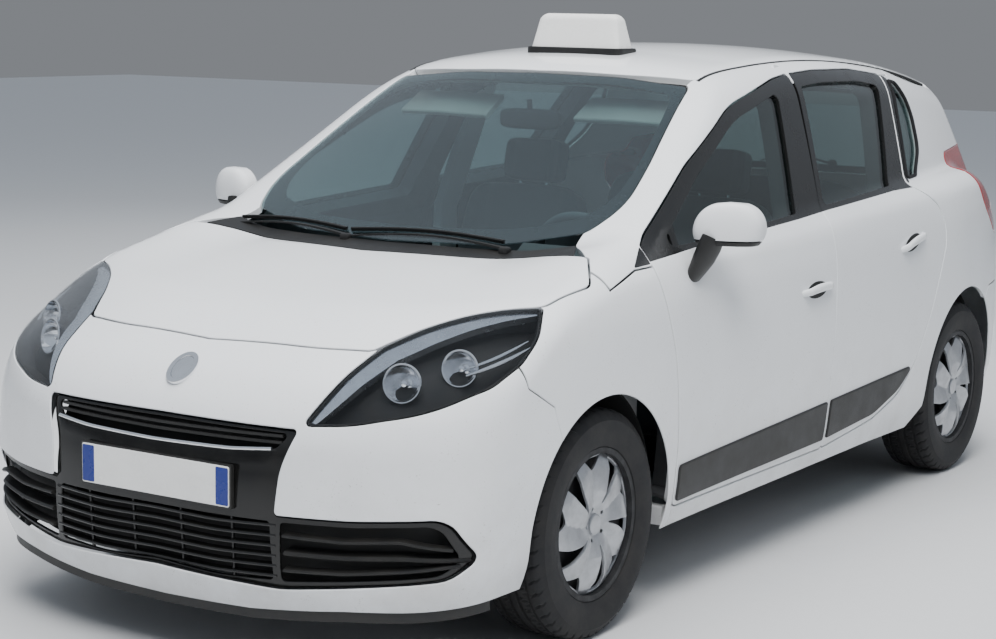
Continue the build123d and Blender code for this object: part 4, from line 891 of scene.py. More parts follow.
class Graph:
    """A material's nodes, added and joined by short calls."""

    def __init__(self, name: str) -> None:
        """Start a material with a Principled shader joined to its output."""
        self.material = bpy.data.materials.new(name)
        self.material.use_nodes = True
        self.tree = self.material.node_tree
        self.tree.nodes.clear()
        self.output = self.add("ShaderNodeOutputMaterial")
        self.shader = self.add("ShaderNodeBsdfPrincipled")
        self.link(self.shader.outputs[0], self.output.inputs[0])
        self.place = self.add("ShaderNodeTexCoord").outputs["Object"]

    def add(self, kind: str, inputs: dict | None = None, **settings: object) -> bpy.types.Node:
        """Add a node, set its properties, and set or join its inputs."""
        node = self.tree.nodes.new(kind)
        for key, value in settings.items():
            setattr(node, key, value)
        for key, value in (inputs or {}).items():
            if isinstance(value, bpy.types.NodeSocket):
                self.link(value, node.inputs[key])
            else:
                node.inputs[key].default_value = value
        return node

    def link(self, source: bpy.types.NodeSocket, target: bpy.types.NodeSocket) -> None:
        """Join two sockets."""
        self.tree.links.new(source, target)

    def set(self, **values: object) -> None:
        """Set the shader's inputs, underscores standing for spaces."""
        for key, value in values.items():
            self.shader.inputs[key.replace("_", " ")].default_value = value

    def noise(
        self, scale: float, detail: float = 3.0, rough: float = 0.5, at: bpy.types.NodeSocket | None = None
    ) -> bpy.types.NodeSocket:
        """Noise at a place, from 0 to 1."""
        return self.add(
            "ShaderNodeTexNoise",
            {"Vector": at or self.place, "Scale": scale, "Detail": detail, "Roughness": rough}
        ).outputs["Fac"]

    def ramp(
        self, value: bpy.types.NodeSocket, low: float, high: float, start: float = 0.0, end: float = 1.0
    ) -> bpy.types.NodeSocket:
        """A value taken from one span to another, held at its ends."""
        return self.add(
            "ShaderNodeMapRange",
            {"Value": value, "From Min": low, "From Max": high, "To Min": start, "To Max": end}
        ).outputs[0]

    def math(self, operation: str, a: object, b: object = 0.0) -> bpy.types.NodeSocket:
        """Sum, product or other operation on two values."""
        return self.add("ShaderNodeMath", {0: a, 1: b}, operation=operation).outputs[0]

    def mix(self, share: bpy.types.NodeSocket, a: object, b: object) -> bpy.types.NodeSocket:
        """Colour between two colours."""
        node = self.add("ShaderNodeMix", data_type="RGBA")
        self.link(share, node.inputs["Factor"])
        for key, value in (("A", a), ("B", b)):
            socket = [i for i in node.inputs if i.name == key and i.type == "RGBA"][0]
            if isinstance(value, bpy.types.NodeSocket):
                self.link(value, socket)
            else:
                socket.default_value = value
        return [o for o in node.outputs if o.type == "RGBA"][0]

    def bump(self, height: bpy.types.NodeSocket, strength: float, distance: float) -> None:
        """Bump the shader by a height, distance in metres."""
        node = self.add("ShaderNodeBump", {"Height": height, "Strength": strength, "Distance": distance})
        self.link(node.outputs[0], self.shader.inputs["Normal"])

    def height(self) -> bpy.types.NodeSocket:
        """Height above the ground, in metres."""
        return self.add("ShaderNodeSeparateXYZ", {0: self.place}).outputs["Z"]


Colour = tuple[float, float, float, float]


def grey(value: float) -> Colour:
    """A grey of a linear value."""
    return (value, value, value, 1.0)


def darker(colour: Colour, share: float) -> Colour:
    """A colour with its light taken down to a share."""
    return (*(channel * share for channel in colour[:3]), 1.0)


@dataclass(frozen=True)
class Paint:
    """Car paint under clear coat, with faint orange peel and road dirt that thickens downwards."""

    name: str
    colour: Colour
    dirt: float = 0.35

    def build(self) -> bpy.types.Material:
        """Make the material."""
        g = Graph(self.name)
        g.set(Roughness=0.42, Coat_Weight=1.0, Coat_Roughness=0.04, Coat_IOR=1.5, IOR=1.45)
        low = g.ramp(g.height(), 0.16, 0.75, 1.0, 0.0)
        cloud = g.ramp(g.noise(5.0, 6.0, 0.65), 0.35, 0.75)
        film = g.math("MULTIPLY", g.math("MULTIPLY", low, cloud), self.dirt)
        specks = g.ramp(g.noise(170.0, 2.0, 0.6), 0.63, 0.68)
        patch = g.ramp(g.noise(17.0, 3.0, 0.7), 0.46, 0.70)
        specks = g.math(
            "MULTIPLY", g.math("MULTIPLY", specks, patch), g.ramp(g.height(), 0.2, 1.15, 0.8, 0.15)
        )
        share = g.math("MAXIMUM", film, specks)
        shade = g.mix(g.ramp(g.noise(1.6, 2.0), 0.3, 0.7), self.colour, darker(self.colour, 0.965))
        g.link(g.mix(share, shade, (0.20, 0.165, 0.125, 1)), g.shader.inputs["Base Color"])
        g.bump(g.noise(420.0, 1.0), 0.012, 0.0006)
        return g.material


@dataclass(frozen=True)
class Plastic:
    """Moulded plastic with a fine grain and dust in patches, thicker low down."""

    name: str
    colour: Colour
    rough: float = 0.5
    grain: float = 0.25
    scale: float = 900.0
    dust: float = 0.25

    def build(self) -> bpy.types.Material:
        """Make the material."""
        g = Graph(self.name)
        g.set(IOR=1.48)
        worn = g.ramp(g.noise(14.0, 5.0, 0.6), 0.35, 0.7)
        dusty = g.math(
            "MULTIPLY", g.math("MULTIPLY", worn, self.dust), g.ramp(g.height(), 0.1, 1.2, 1.0, 0.35)
        )
        g.link(g.mix(dusty, self.colour, (0.22, 0.20, 0.17, 1)), g.shader.inputs["Base Color"])
        g.link(
            g.ramp(worn, 0, 1, max(self.rough - 0.06, 0.03), self.rough + 0.08),
            g.shader.inputs["Roughness"]
        )
        cells = g.add("ShaderNodeTexVoronoi", {"Vector": g.place, "Scale": self.scale}).outputs["Distance"]
        g.bump(cells, self.grain, 0.0004)
        return g.material


@dataclass(frozen=True)
class Metal:
    """Metal with fine scratches and a dull film."""

    name: str
    colour: Colour
    rough: float = 0.3
    metallic: float = 1.0
    film: float = 0.3
    coat: float = 0.0

    def build(self) -> bpy.types.Material:
        """Make the material."""
        g = Graph(self.name)
        g.set(Metallic=self.metallic, Coat_Weight=self.coat, Coat_Roughness=0.12)
        patch = g.ramp(g.noise(22.0, 6.0, 0.65), 0.35, 0.72)
        share = g.math("MULTIPLY", patch, self.film)
        g.link(g.mix(share, self.colour, darker(self.colour, 0.45)), g.shader.inputs["Base Color"])
        g.link(g.ramp(patch, 0, 1, self.rough, min(self.rough + 0.2, 1.0)), g.shader.inputs["Roughness"])
        g.bump(g.noise(700.0, 2.0), 0.05, 0.0005)
        return g.material


@dataclass(frozen=True)
class Glass:
    """Thin tinted glass or clear plastic: a mirror by the angle of view, over what shows through."""

    name: str
    tint: Colour
    head_on: float

    def build(self) -> bpy.types.Material:
        """Make the material."""
        g = Graph(self.name)
        g.tree.nodes.remove(g.shader)
        clear = g.add("ShaderNodeBsdfTransparent", {"Color": self.tint})
        film = g.ramp(g.noise(9.0, 5.0, 0.7), 0.4, 0.8, 0.0, 0.03)
        gloss = g.add("ShaderNodeBsdfGlossy", {"Color": (1, 1, 1, 1), "Roughness": film})
        facing = g.add("ShaderNodeLayerWeight", {"Blend": 0.5}).outputs["Facing"]
        edge = g.math("MULTIPLY", g.math("POWER", facing, 5.0), 1.0 - self.head_on)
        share = g.math("MINIMUM", g.math("ADD", edge, self.head_on), 1.0)
        mix = g.add("ShaderNodeMixShader", {0: share, 1: clear.outputs[0], 2: gloss.outputs[0]})
        g.link(mix.outputs[0], g.output.inputs[0])
        return g.material


@dataclass(frozen=True)
class Lens:
    """Coloured lamp plastic with fine flutes behind a smooth face."""

    name: str
    colour: Colour
    flutes: float = 260.0

    def build(self) -> bpy.types.Material:
        """Make the material."""
        g = Graph(self.name)
        g.set(Roughness=0.08, Coat_Weight=1.0, Coat_Roughness=0.02, IOR=1.5)
        wave = g.add("ShaderNodeTexWave", {"Vector": g.place, "Scale": self.flutes}, bands_direction="Z")
        g.link(
            g.mix(wave.outputs["Fac"], self.colour, darker(self.colour, 0.45)),
            g.shader.inputs["Base Color"]
        )
        return g.material


@dataclass(frozen=True)
class Rubber:
    """Tyre or seal rubber: near black, matt, with dust in patches."""

    name: str
    colour: Colour = (0.012, 0.012, 0.013, 1)
    dust: float = 0.12

    def build(self) -> bpy.types.Material:
        """Make the material."""
        g = Graph(self.name)
        g.set(Roughness=0.78, IOR=1.5)
        share = g.math("MULTIPLY", g.ramp(g.noise(12.0, 7.0, 0.7), 0.38, 0.75), self.dust)
        g.link(g.mix(share, self.colour, (0.135, 0.12, 0.10, 1)), g.shader.inputs["Base Color"])
        g.bump(g.noise(520.0, 3.0, 0.6), 0.25, 0.0008)
        return g.material


@dataclass(frozen=True)
class Cloth:
    """Woven cloth: two crossed waves of thread, fuzz and a slow change of shade."""

    name: str
    colour: Colour
    thread: float = 420.0

    def build(self) -> bpy.types.Material:
        """Make the material."""
        g = Graph(self.name)
        g.set(Roughness=0.92, Sheen_Weight=0.35, Sheen_Roughness=0.5)
        warp = g.add(
            "ShaderNodeTexWave", {"Vector": g.place, "Scale": self.thread, "Distortion": 1.5},
            bands_direction="X"
        ).outputs["Fac"]
        weft = g.add(
            "ShaderNodeTexWave", {"Vector": g.place, "Scale": self.thread, "Distortion": 1.5},
            bands_direction="DIAGONAL"
        ).outputs["Fac"]
        weave = g.math("MULTIPLY", warp, weft)
        shade = g.math("ADD", g.math("MULTIPLY", weave, 0.6), g.math("MULTIPLY", g.noise(6.0, 4.0), 0.4))
        g.link(g.mix(shade, darker(self.colour, 0.6), self.colour), g.shader.inputs["Base Color"])
        g.bump(weave, 0.4, 0.0006)
        return g.material


SHELL = "body_shell"
SIDES = ("left", "right")


class Look(Enum):
    """Every finish by the name it is used under, with the record's slot it stands for."""

    WHITE = (Paint("white_body_paint", (0.80, 0.815, 0.83, 1)), "white_paint")
    TRIM = (Plastic("black_trim_plastic", grey(0.011), 0.5, 0.22, dust=0.07), "black_trim")
    SMOOTH = (Plastic("black_frame_film", grey(0.008), 0.24, 0.03, 500.0, 0.02), "black_trim")
    GLOSS = (Plastic("black_gloss_panel", grey(0.006), 0.14, 0.015, 500.0, 0.035), "black_gloss")
    DARK = (Plastic("dark_inner_plastic", grey(0.010), 0.7, 0.3, 700.0, 0.06), "black_trim")
    SCREEN = (Glass("windscreen_glass", (0.72, 0.83, 0.84, 1), 0.10), "glass")
    WINDOW = (Glass("side_window_glass", (0.58, 0.66, 0.65, 1), 0.05), "glass")
    CLEAR = (Glass("clear_lamp_lens", (0.96, 0.97, 0.98, 1), 0.015), "lamp")
    CHROME = (Metal("bright_chrome", (0.90, 0.91, 0.93, 1), 0.05, 1.0, 0.12), "silver")
    REFLECTOR = (Metal("lamp_reflector", (0.82, 0.84, 0.87, 1), 0.16, 1.0, 0.25), "silver")
    SILVER = (Metal("silver_wheel_paint", (0.46, 0.47, 0.49, 1), 0.34, 0.8, 0.35, 0.5), "silver")
    STEEL = (Metal("brake_disc_steel", (0.42, 0.41, 0.40, 1), 0.38, 1.0, 0.5), "dark_metal")
    UNDER = (Metal("underbody_metal", (0.060, 0.060, 0.062, 1), 0.6, 0.6, 0.6), "dark_metal")
    PIPE = (Metal("exhaust_pipe_metal", (0.30, 0.28, 0.26, 1), 0.45, 1.0, 0.7), "exhaust_metal")
    RED = (Lens("red_tail_lens", (0.42, 0.010, 0.012, 1)), "red_lamp")
    PALE = (Lens("pale_reversing_lens", (0.75, 0.75, 0.75, 1)), "lamp")
    TYRE = (Rubber("tyre_rubber"), "rubber")
    SEAL = (Rubber("seal_rubber", (0.010, 0.010, 0.011, 1), 0.05), "black_trim")
    CLOTH = (Cloth("grey_seat_cloth", (0.115, 0.12, 0.13, 1)), "seat_cloth")
    LINING = (Cloth("pale_roof_lining", (0.42, 0.41, 0.38, 1), 600.0), "cabin_plastic")
    CARPET = (Cloth("dark_floor_carpet", (0.030, 0.030, 0.032, 1), 260.0), "floor_carpet")
    CABIN = (
        Plastic("grey_cabin_plastic", (0.060, 0.062, 0.066, 1), 0.6, 0.35, 700.0, 0.1), "cabin_plastic"
    )
    SIGN = (Plastic("white_sign_plastic", (0.80, 0.80, 0.78, 1), 0.28, 0.05, 700.0, 0.10), "sign_plastic")
    PLATE = (Plastic("white_plate_film", (0.82, 0.82, 0.80, 1), 0.25, 0.10, 1500.0, 0.12), "white_paint")
    BLUE = (Plastic("blue_plate_band", (0.006, 0.022, 0.20, 1), 0.25, 0.10, 1500.0, 0.04), "white_paint")
    STUDIO = (Plastic("pale_floor", (0.56, 0.565, 0.57, 1), 0.75, 0.05, 60.0, 0.0), "")

    def material(self) -> bpy.types.Material:
        """The built material, made once."""
        finish = self.value[0]
        found = bpy.data.materials.get(finish.name)
        return found or finish.build()


def number_plate(name: str, face: Plain, half: tuple, band: float, wall: float, body: str) -> None:
    """Put a blank number plate with a blue band at each end.

    Args:
        name: the plate's name.
        face: the face that it lies on.
        half: its half width and half height.
        band: how far the middle of each band is from the plate's.
        wall: its thickness.
        body: the CAD body that carries it.
    """
    put(name, slab(face, half, 6, wall=wall, roll=1.2, spacing=60.0), Look.PLATE, body)
    bands = [
        slab(face, (21, 50), 4, x, inset=-0.6, wall=1.0, roll=0.3, spacing=40.0) for x in (-band, band)
    ]
    put(f"{name}_bands", bands[0].plus(bands[1]), Look.BLUE, body)


def put(
    name: str, shape: Shape, look: Look, body: str, replaces: tuple = (), sharp: float = 32.0
) -> bpy.types.Object:
    """Make an object of a shape, finished, riding on a body and standing for CAD nodes.

    Args:
        name: the object's name.
        shape: its surface in millimetres.
        look: its finish.
        body: the CAD body that carries it.
        replaces: CAD nodes that it stands for.
        sharp: edges above this angle in degrees stay sharp, where the shape has no normals of its own.

    Returns:
        The object.
    """
    used, index = np.unique(shape.triangles, return_inverse=True)
    points, triangles = shape.points[used] * MM, index.reshape(-1, 3)
    mesh = bpy.data.meshes.new(name)
    mesh.vertices.add(len(points))
    mesh.vertices.foreach_set("co", points.astype(np.float32).ravel())
    mesh.loops.add(triangles.size)
    mesh.loops.foreach_set("vertex_index", triangles.astype(np.int32).ravel())
    mesh.polygons.add(len(triangles))
    mesh.polygons.foreach_set("loop_start", np.arange(0, triangles.size, 3, dtype=np.int32))
    mesh.update(calc_edges=True)
    mesh.shade_smooth()
    if shape.normals is None:
        mesh.set_sharp_from_angle(angle=math.radians(sharp))
    else:
        mesh.normals_split_custom_set(shape.normals.reshape(-1, 3).tolist())
    mesh.materials.append(look.material())
    piece = bpy.data.objects.new(name, mesh)
    bpy.context.scene.collection.objects.link(piece)
    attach(piece, body)
    if replaces:
        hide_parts(*replaces)
    LOG.info("%s: %d triangles on %s", name, len(triangles), body)
    return piece


def put_both(name: str, shape: Shape, look: Look, replaces: tuple = ()) -> None:
    """Put a left-hand shape and its mirror image on the shell as one piece."""
    put(name, shape.plus(shape.mirrored()), look, SHELL, replaces)


def put_pair(
    name: str, shape: Shape, look: Look, bodies: tuple[str, str], replaces: tuple = ((), ())
) -> None:
    """Put a left-hand shape and its mirror image.

    Args:
        name: the name before its side.
        shape: the left-hand shape.
        look: the finish of both.
        bodies: the left and the right body.
        replaces: CAD nodes for the left and the right piece.
    """
    put(name + "_left", shape, look, bodies[0], replaces[0])
    put(name + "_right", shape.mirrored(), look, bodies[1], replaces[1])


# How far a cut stands outside the door, bonnet or tailgate that fills it; the nose keeps further off
DOOR_CLEAR, BONNET_CLEAR, NOSE_CLEAR, LID_CLEAR = 4.0, 5.0, 6.0, 7.0
# Radius of the wheel arches in front and at the rear
FRONT_ARCH, REAR_ARCH = 368.0, 390.0
FRONT_AXLE, REAR_AXLE, HUB_Z, TRACK_HALF = -1306.0, 1396.0, 326.0, 773.0

# Side outlines: y, z, corner radius
FRONT_DOOR = [
    (-907, 302, 25), (-897, 520, 600), (-912, 740, 500), (-968, 985, 120), (-974, 1066, 12),
    (-578, 1279, 900), (-217, 1440, 700), (177, 1517, 700), (309, 1531, 12), (200, 1085, 200),
    (204, 950, 300), (150, 500, 800), (126, 304, 15)
]
REAR_DOOR = [
    (126, 304, 15), (150, 500, 800), (204, 950, 300), (200, 1085, 200), (327, 1531, 12), (520, 1540, 900),
    (860, 1538, 900), (1146, 1513, 12), (986, 1122, 20), (1125, 1040, 110), (1165, 930, 120),
    (1085, 795, 300), (1000, 655, 400), (880, 497, 300), (735, 398, 300), (520, 340, 400)
]
FRONT_WINDOW = [
    (-880, 1056, 20), (-560, 1240, 900), (-217, 1396, 700), (152, 1474, 18), (18, 1092, 15),
    (-700, 1058, 900)
]
REAR_WINDOW = [
    (240, 1104, 15), (352, 1490, 18), (520, 1500, 900), (850, 1498, 900), (1040, 1478, 18), (826, 1132, 15)
]
QUARTER_WINDOW = [
    (1022, 1142, 12), (1190, 1494, 15), (1258, 1486, 30), (1318, 1385, 120), (1262, 1240, 150),
    (1128, 1147, 30)
]
FRONT_MOULDING = [(-896, 314, 16), (-889, 424, 16), (130, 462, 8), (114, 332, 10)]
REAR_MOULDING = [
    (141, 334, 10), (156, 463, 8), (560, 479, 900), (852, 489, 10), (730, 414, 300), (520, 358, 300)
]
# Everything above the waist, under which a door is painted
ABOVE_WAIST = [
    (-1400, 1004, 0), (-1070, 1022, 300), (-724, 1043, 900), (18, 1076, 600), (240, 1089, 600),
    (826, 1116, 600), (1000, 1118, 0), (1400, 1150, 0), (1400, 1700, 0), (-1400, 1700, 0)
]
BELOW_WAIST = [
    (-1400, 998, 0), (-1070, 1016, 300), (-724, 1037, 900), (18, 1070, 600), (240, 1083, 600),
    (826, 1110, 600), (1000, 1112, 0), (1400, 1144, 0), (1400, 100, 0), (-1400, 100, 0)
]
SILL = [(-901, 238, 6), (545, 250, 0), (545, 420, 0), (-901, 420, 0)]
TAIL_LAMP = [
    (1790, 890, 60), (1640, 1010, 150), (1560, 1205, 40), (1930, 1225, 30), (2200, 1000, 0), (2200, 890, 0)
]
# The black edge beside the windscreen, and the rail over the doors
RAIL_UPPER = [
    (690, -1240, 1010), (690, -1166, 1030), (634, -1062, 1070), (600, -900, 1140), (560, -646, 1277),
    (540, -449, 1396), (540, -236, 1505), (560, -60, 1560), (560, 250, 1590), (560, 600, 1600),
    (578, 950, 1590), (572, 1240, 1565)
]
RAIL_LOWER = [
    (-1236, 988), (-1150, 998), (-1010, 1008), (-850, 1098), (-640, 1222), (-440, 1318), (-217, 1412),
    (-60, 1452), (250, 1498), (600, 1515), (950, 1508), (1240, 1512)
]
# Plan outlines, left half: x, y, corner radius
BONNET = [
    (0, -1930, 0), (351, -1902, 900), (497, -1866, 40), (572, -1732, 500), (640, -1637, 600),
    (715, -1564, 500), (797, -1507, 60), (822, -1306, 60), (728, -1166, 30), (503, -1150, 500),
    (365, -1196, 700), (0, -1238, 0)
]
COWL = [
    (0, -1300, 0), (686, -1300, 0), (684, -1166, 0), (628, -1058, 12), (500, -1092, 300), (300, -1120, 900),
    (0, -1132, 0)
]
ROOF = [
    (0, -272, 0), (300, -262, 900), (560, -214, 40), (566, 250, 2000), (566, 1000, 2000), (548, 1760, 30),
    (0, 1784, 0)
]
# Front outlines, left half: x, z, corner radius
SCREEN = [
    (0, 1040, 0), (380, 1050, 900), (610, 1094, 60), (660, 1166, 300), (632, 1277, 900), (592, 1396, 900),
    (556, 1500, 30), (300, 1524, 1500), (0, 1529, 0)
]
TAILGATE = [
    (0, 652, 0), (600, 652, 60), (668, 760, 200), (676, 900, 300), (640, 1080, 500), (600, 1230, 900),
    (548, 1478, 40), (540, 1560, 0), (0, 1560, 0)
]
REAR_GLASS = [(0, 1070, 0), (560, 1070, 60), (480, 1420, 60), (0, 1440, 0)]
GRILLE = [
    (0, 672, 0), (436, 670, 12), (398, 560, 200), (388, 446, 12), (590, 446, 900), (800, 456, 50),
    (848, 345, 40), (800, 292, 60), (590, 268, 600), (400, 246, 300), (0, 262, 0)
]
SLOT = [(0, 662, 0), (414, 660, 10), (382, 622, 30), (352, 612, 30), (0, 606, 0)]
MESH = [(0, 430, 0), (372, 428, 10), (380, 270, 14), (200, 262, 900), (0, 276, 0)]
FOG = [
    (404, 428, 10), (590, 428, 900), (786, 438, 44), (824, 345, 34), (786, 306, 50), (590, 286, 600),
    (402, 268, 12)
]
# Headlamp: x, y, z, corner radius
HEADLAMP = [
    (443, -2089, 678, 12), (492, -1954, 804, 600), (516, -1842, 861, 60), (572, -1732, 902, 400),
    (635, -1639, 931, 500), (713, -1564, 947, 400), (797, -1509, 951, 10), (845, -1600, 885, 200),
    (852, -1690, 830, 150), (830, -1800, 778, 150), (738, -1945, 720, 500), (565, -2050, 686, 400)
]


def lamp_rows() -> Rows:
    """The headlamp's outline in its slanted view."""
    corners = np.array(HEADLAMP, float)
    return [(*flat, row[3]) for flat, row in zip(LAMP.flat(corners[:, :3]).tolist(), HEADLAMP)]


def door_cuts() -> tuple[np.ndarray, np.ndarray]:
    """Lines round both left doors, for cutting what they close."""
    return on(SIDE, FRONT_DOOR, DOOR_CLEAR), on(SIDE, REAR_DOOR, DOOR_CLEAR)


def cut_front(view: View, rows: Rows, limit: float, grow: float) -> np.ndarray:
    """A plan outline grown and held ahead of a limit in y, for cutting panels seen from the nose."""
    flat = offset(rounded(rows, 16.0), grow)
    flat[:, 1] = np.minimum(flat[:, 1], limit)
    return view.lift(spaced(flat, 16.0))


@dataclass(frozen=True)
class FrontEnd:
    """Nose and bumper skin, wings, bonnet, scuttle, a dark lip that is partly painted shade, and bare badge.
    """

    skin: float = 4.0
    lid: float = 20.0

    def bumper(self) -> Shape:
        """The nose in one skin, cut by the bonnet, lamps, grille and arches."""
        high = TOP.lift([(0, -1850), (420, -1838), (520, -1780), (640, -1700)])
        side = trace(SIDE, [(-1712, 850), (-1690, 764, 10), (-1581.2, 700.6), (-1540, 590), (-1545, 400)])
        low = near(NOSE, [
            (890, -1560, 225), (860, -1800, 215), (770, -1960, 205), (571, -2080, 195), (300, -2150, 170),
            (0, -2150, 165)
        ])
        left = np.concatenate([high, side, low])
        outer = chain(NOSE, left, flipped(left[-2:0:-1]), step=14.0)
        lamp = on(LAMP, lamp_rows(), 2.5)
        bow = arch(FRONT_AXLE, FRONT_ARCH)
        cuts = (
            cut_front(TOP, both(BONNET), -1600, NOSE_CLEAR), lamp, flipped(lamp), on(FRONT, both(GRILLE)),
            bow, flipped(bow)
        )
        return Panel(NOSE, outer, cuts, wall=self.skin, spacing=26.0, roll=3.0).shape()

    def wing(self) -> Shape:
        """Left wing from the headlamp to the door."""
        front = trace(SIDE, [(-1545, 400), (-1540, 590), (-1581.2, 703), (-1688, 767, 10), (-1705, 850)])
        high = TOP.lift([(700, -1650), (700, -1500), (740, -1300), (740, -1250)])
        back = trace(SIDE, [
            (-1246, 971), (-1072, 1010), (-940, 1012), (-860, 700), (-890, 420), (-909, 330), (-909, 306),
            (-901, 298), (-901, 238), (-1306, 238)
        ])
        outer = chain(BARREL, front, high, back, step=14.0)
        cuts = (
            on(TOP, both(BONNET), BONNET_CLEAR), on(LAMP, lamp_rows(), 2.5), on(SIDE, FRONT_DOOR, 5.0),
            arch(FRONT_AXLE, FRONT_ARCH)
        )
        return Panel(BARREL, outer, cuts, wall=self.skin, spacing=26.0, roll=3.0).shape()

    def build(self) -> None:
        """Put the panels down."""
        put("nose_and_bumper_skin", self.bumper(), Look.WHITE, SHELL, ("front_bumper",))
        put_both("front_wings", self.wing(), Look.WHITE, ("front_fenders",))
        lid = piece(TOP, both(BONNET), wall=self.lid, roll=3.5, spacing=30.0)
        put("bonnet_lid_skin", lid, Look.WHITE, "bonnet_lid", ("bonnet",))
        cowl = piece(TOP, both(COWL), (on(TOP, both(BONNET), BONNET_CLEAR),), wall=5.0, roll=2.0)
        put("scuttle_panel", cowl, Look.TRIM, SHELL, ("cowl",))
        self.lip()
        self.badge()

    def lip(self) -> None:
        """Dark strip under the nose: partly the black undertray's edge, partly painted shade under the
        bumper.
        """
        low = np.array(
            [(846, -1800, 205), (760, -1960, 195), (571, -2070, 185), (300, -2140, 160), (0, -2142, 155)],
            float
        )
        edge = spaced(NOSE.flat(np.concatenate([low, flipped(low[-2::-1])])), 20.0)
        inner = NOSE.lift(edge[:np.argmax(edge[:, 0] <= edge[:, 0].min() + 1) + 1], 16.0)
        # The strip stands partly for the undertray's black edge and partly for painted shade under the
        # bumper's lower edge
        lip = tube(inner, np.array([(-10, -20), (10, -18), (12, 16), (-10, 18)]), (0, 0, 1))
        put("nose_under_lip_and_shade", lip, Look.TRIM, SHELL)

    def badge(self) -> None:
        """Bare oval badge: a ring round a plain disc, on the bonnet's front edge."""
        middle = near(NOSE, [(0, -2050, 780)])[0]
        out = FORM.normal(middle[None])[0]
        a = np.linspace(0, 2 * math.pi, 48, endpoint=False)
        right, up = np.array([1.0, 0, 0]), np.cross(out, [1.0, 0, 0])
        up = up if up[2] > 0 else -up
        face = Plain(tuple(middle + 7 * out), tuple(right), tuple(up))
        oval = face.lift(np.stack([44 * np.cos(a), 56 * np.sin(a)], 1))
        inner = face.lift(np.stack([30 * np.cos(a), 41 * np.sin(a)], 1))
        ring = Panel(face, oval, (inner,), wall=9.0, roll=3.0, spacing=12.0).shape()
        disc = Panel(face, inner, inset=3.0, wall=5.0, roll=2.0, spacing=12.0).shape()
        put("plain_badge", ring.plus(disc), Look.CHROME, SHELL)


@dataclass(frozen=True)
class Grille:
    """Black panel of the nose with its slot, bright strip, plate, bars and fog lamp recesses."""

    bars: int = 6
    low: float = 268.0
    pitch: float = 27.0
    bar: tuple = ((-12, -3), (-10, -6), (10, -3.5), (12, 0), (10, 3.5), (-10, 6), (-12, 3))
    slat: tuple = ((-9, -2), (9, -4), (10, 0), (9, 4), (-9, 2))
    ridge: tuple = ((-16, -3), (-13, -7), (14, -4), (17, 0), (14, 4), (-13, 7), (-16, 3))

    def strip(self, rows: Rows, inset: float, section: np.ndarray) -> Shape:
        """A bar along an open line in the front view."""
        flat = np.array(rows, float)
        fine = np.linspace(0, 1, 60)
        at = np.linspace(0, 1, len(flat))
        path = np.stack([np.interp(fine, at, flat[:, 0]), np.interp(fine, at, flat[:, 1])], 1)
        for _ in range(3):
            path[1:-1] = (path[:-2] + 2 * path[1:-1] + path[2:]) / 4
        return tube(FRONT.lift(path, inset), section, (0, 0, 1))

    def build(self) -> None:
        """Put the grille's pieces down."""
        fog, slot, mesh = rounded(FOG, 16.0), both(SLOT), both(MESH)
        left = FRONT.lift(fog)
        cuts = (on(FRONT, slot), on(FRONT, mesh), left, flipped(left))
        panel = Panel(
            NOSE, on(FRONT, both(GRILLE), -1.5), cuts, inset=15.5, wall=8.0, roll=3.0, spacing=26.0
        )
        put("grille_surround", panel.shape(), Look.GLOSS, SHELL, ("grille",))
        back = Panel(NOSE, on(FRONT, both(GRILLE), -4.0), inset=62.0, wall=4.0, roll=1.0, spacing=60.0)
        put("grille_inner_duct", back.shape(), Look.DARK, SHELL)
        bars = []
        for k in range(self.bars):
            z = self.low + 14 + k * self.pitch
            bars.append(
                self.strip([(-382, z), (-200, z - 5), (0, z), (200, z - 5), (382, z)], 25.0, self.bar)
            )
        uprights = [
            tube(
                np.array([FRONT.lift([(x, 262)], 24)[0], FRONT.lift([(x, 432)], 24)[0]]),
                disc_section(5.0, 8), (0, 1, 0)
            ) for x in (-250, -84, 84, 250)
        ]
        put("lower_grille_bars", bars[0].plus(*bars[1:], *uprights), Look.GLOSS, SHELL)
        slats = [self.strip([(-386, z + 4), (0, z), (386, z + 4)], 26.0, self.slat) for z in (626, 642)]
        put("upper_slot_slats", slats[0].plus(*slats[1:]), Look.TRIM, SHELL)
        line = [(-372, 616), (-250, 606), (0, 601), (250, 606), (372, 616)]
        bright = self.strip(line, 3.0, disc_section(6.5, 12, 0.8))
        put("bright_strip", bright, Look.CHROME, SHELL)
        self.fog_lamps()
        self.plate()

    def fog_lamps(self) -> None:
        """A deep shelf and two low ridges across the recess at each end of the lower grille."""
        shelf = np.array(self.ridge) * 1.4
        shapes = [
            self.strip([(404, 392), (560, 388), (690, 396), (790, 372)], 24.0, self.ridge),
            self.strip([(404, 346), (560, 346), (700, 352), (806, 342)], 34.0, shelf),
            self.strip([(404, 300), (560, 304), (700, 318), (800, 330)], 24.0, self.ridge)
        ]
        put_both("fog_recess_ridges", shapes[0].plus(*shapes[1:]), Look.TRIM)

    def plate(self) -> None:
        """Blank number plate with a blue band at each end, in a dark frame."""
        face = Plain((0.0, -2160.4, 505.0), (1, 0, 0), (0, 0, 1))
        frame = slab(face, (264, 59), 6, inset=2.5, wall=12.0, roll=1.2, spacing=60.0)
        put("front_plate_frame", frame, Look.TRIM, SHELL)
        number_plate("front_plate", face, (258, 54), 235, 3.0, SHELL)


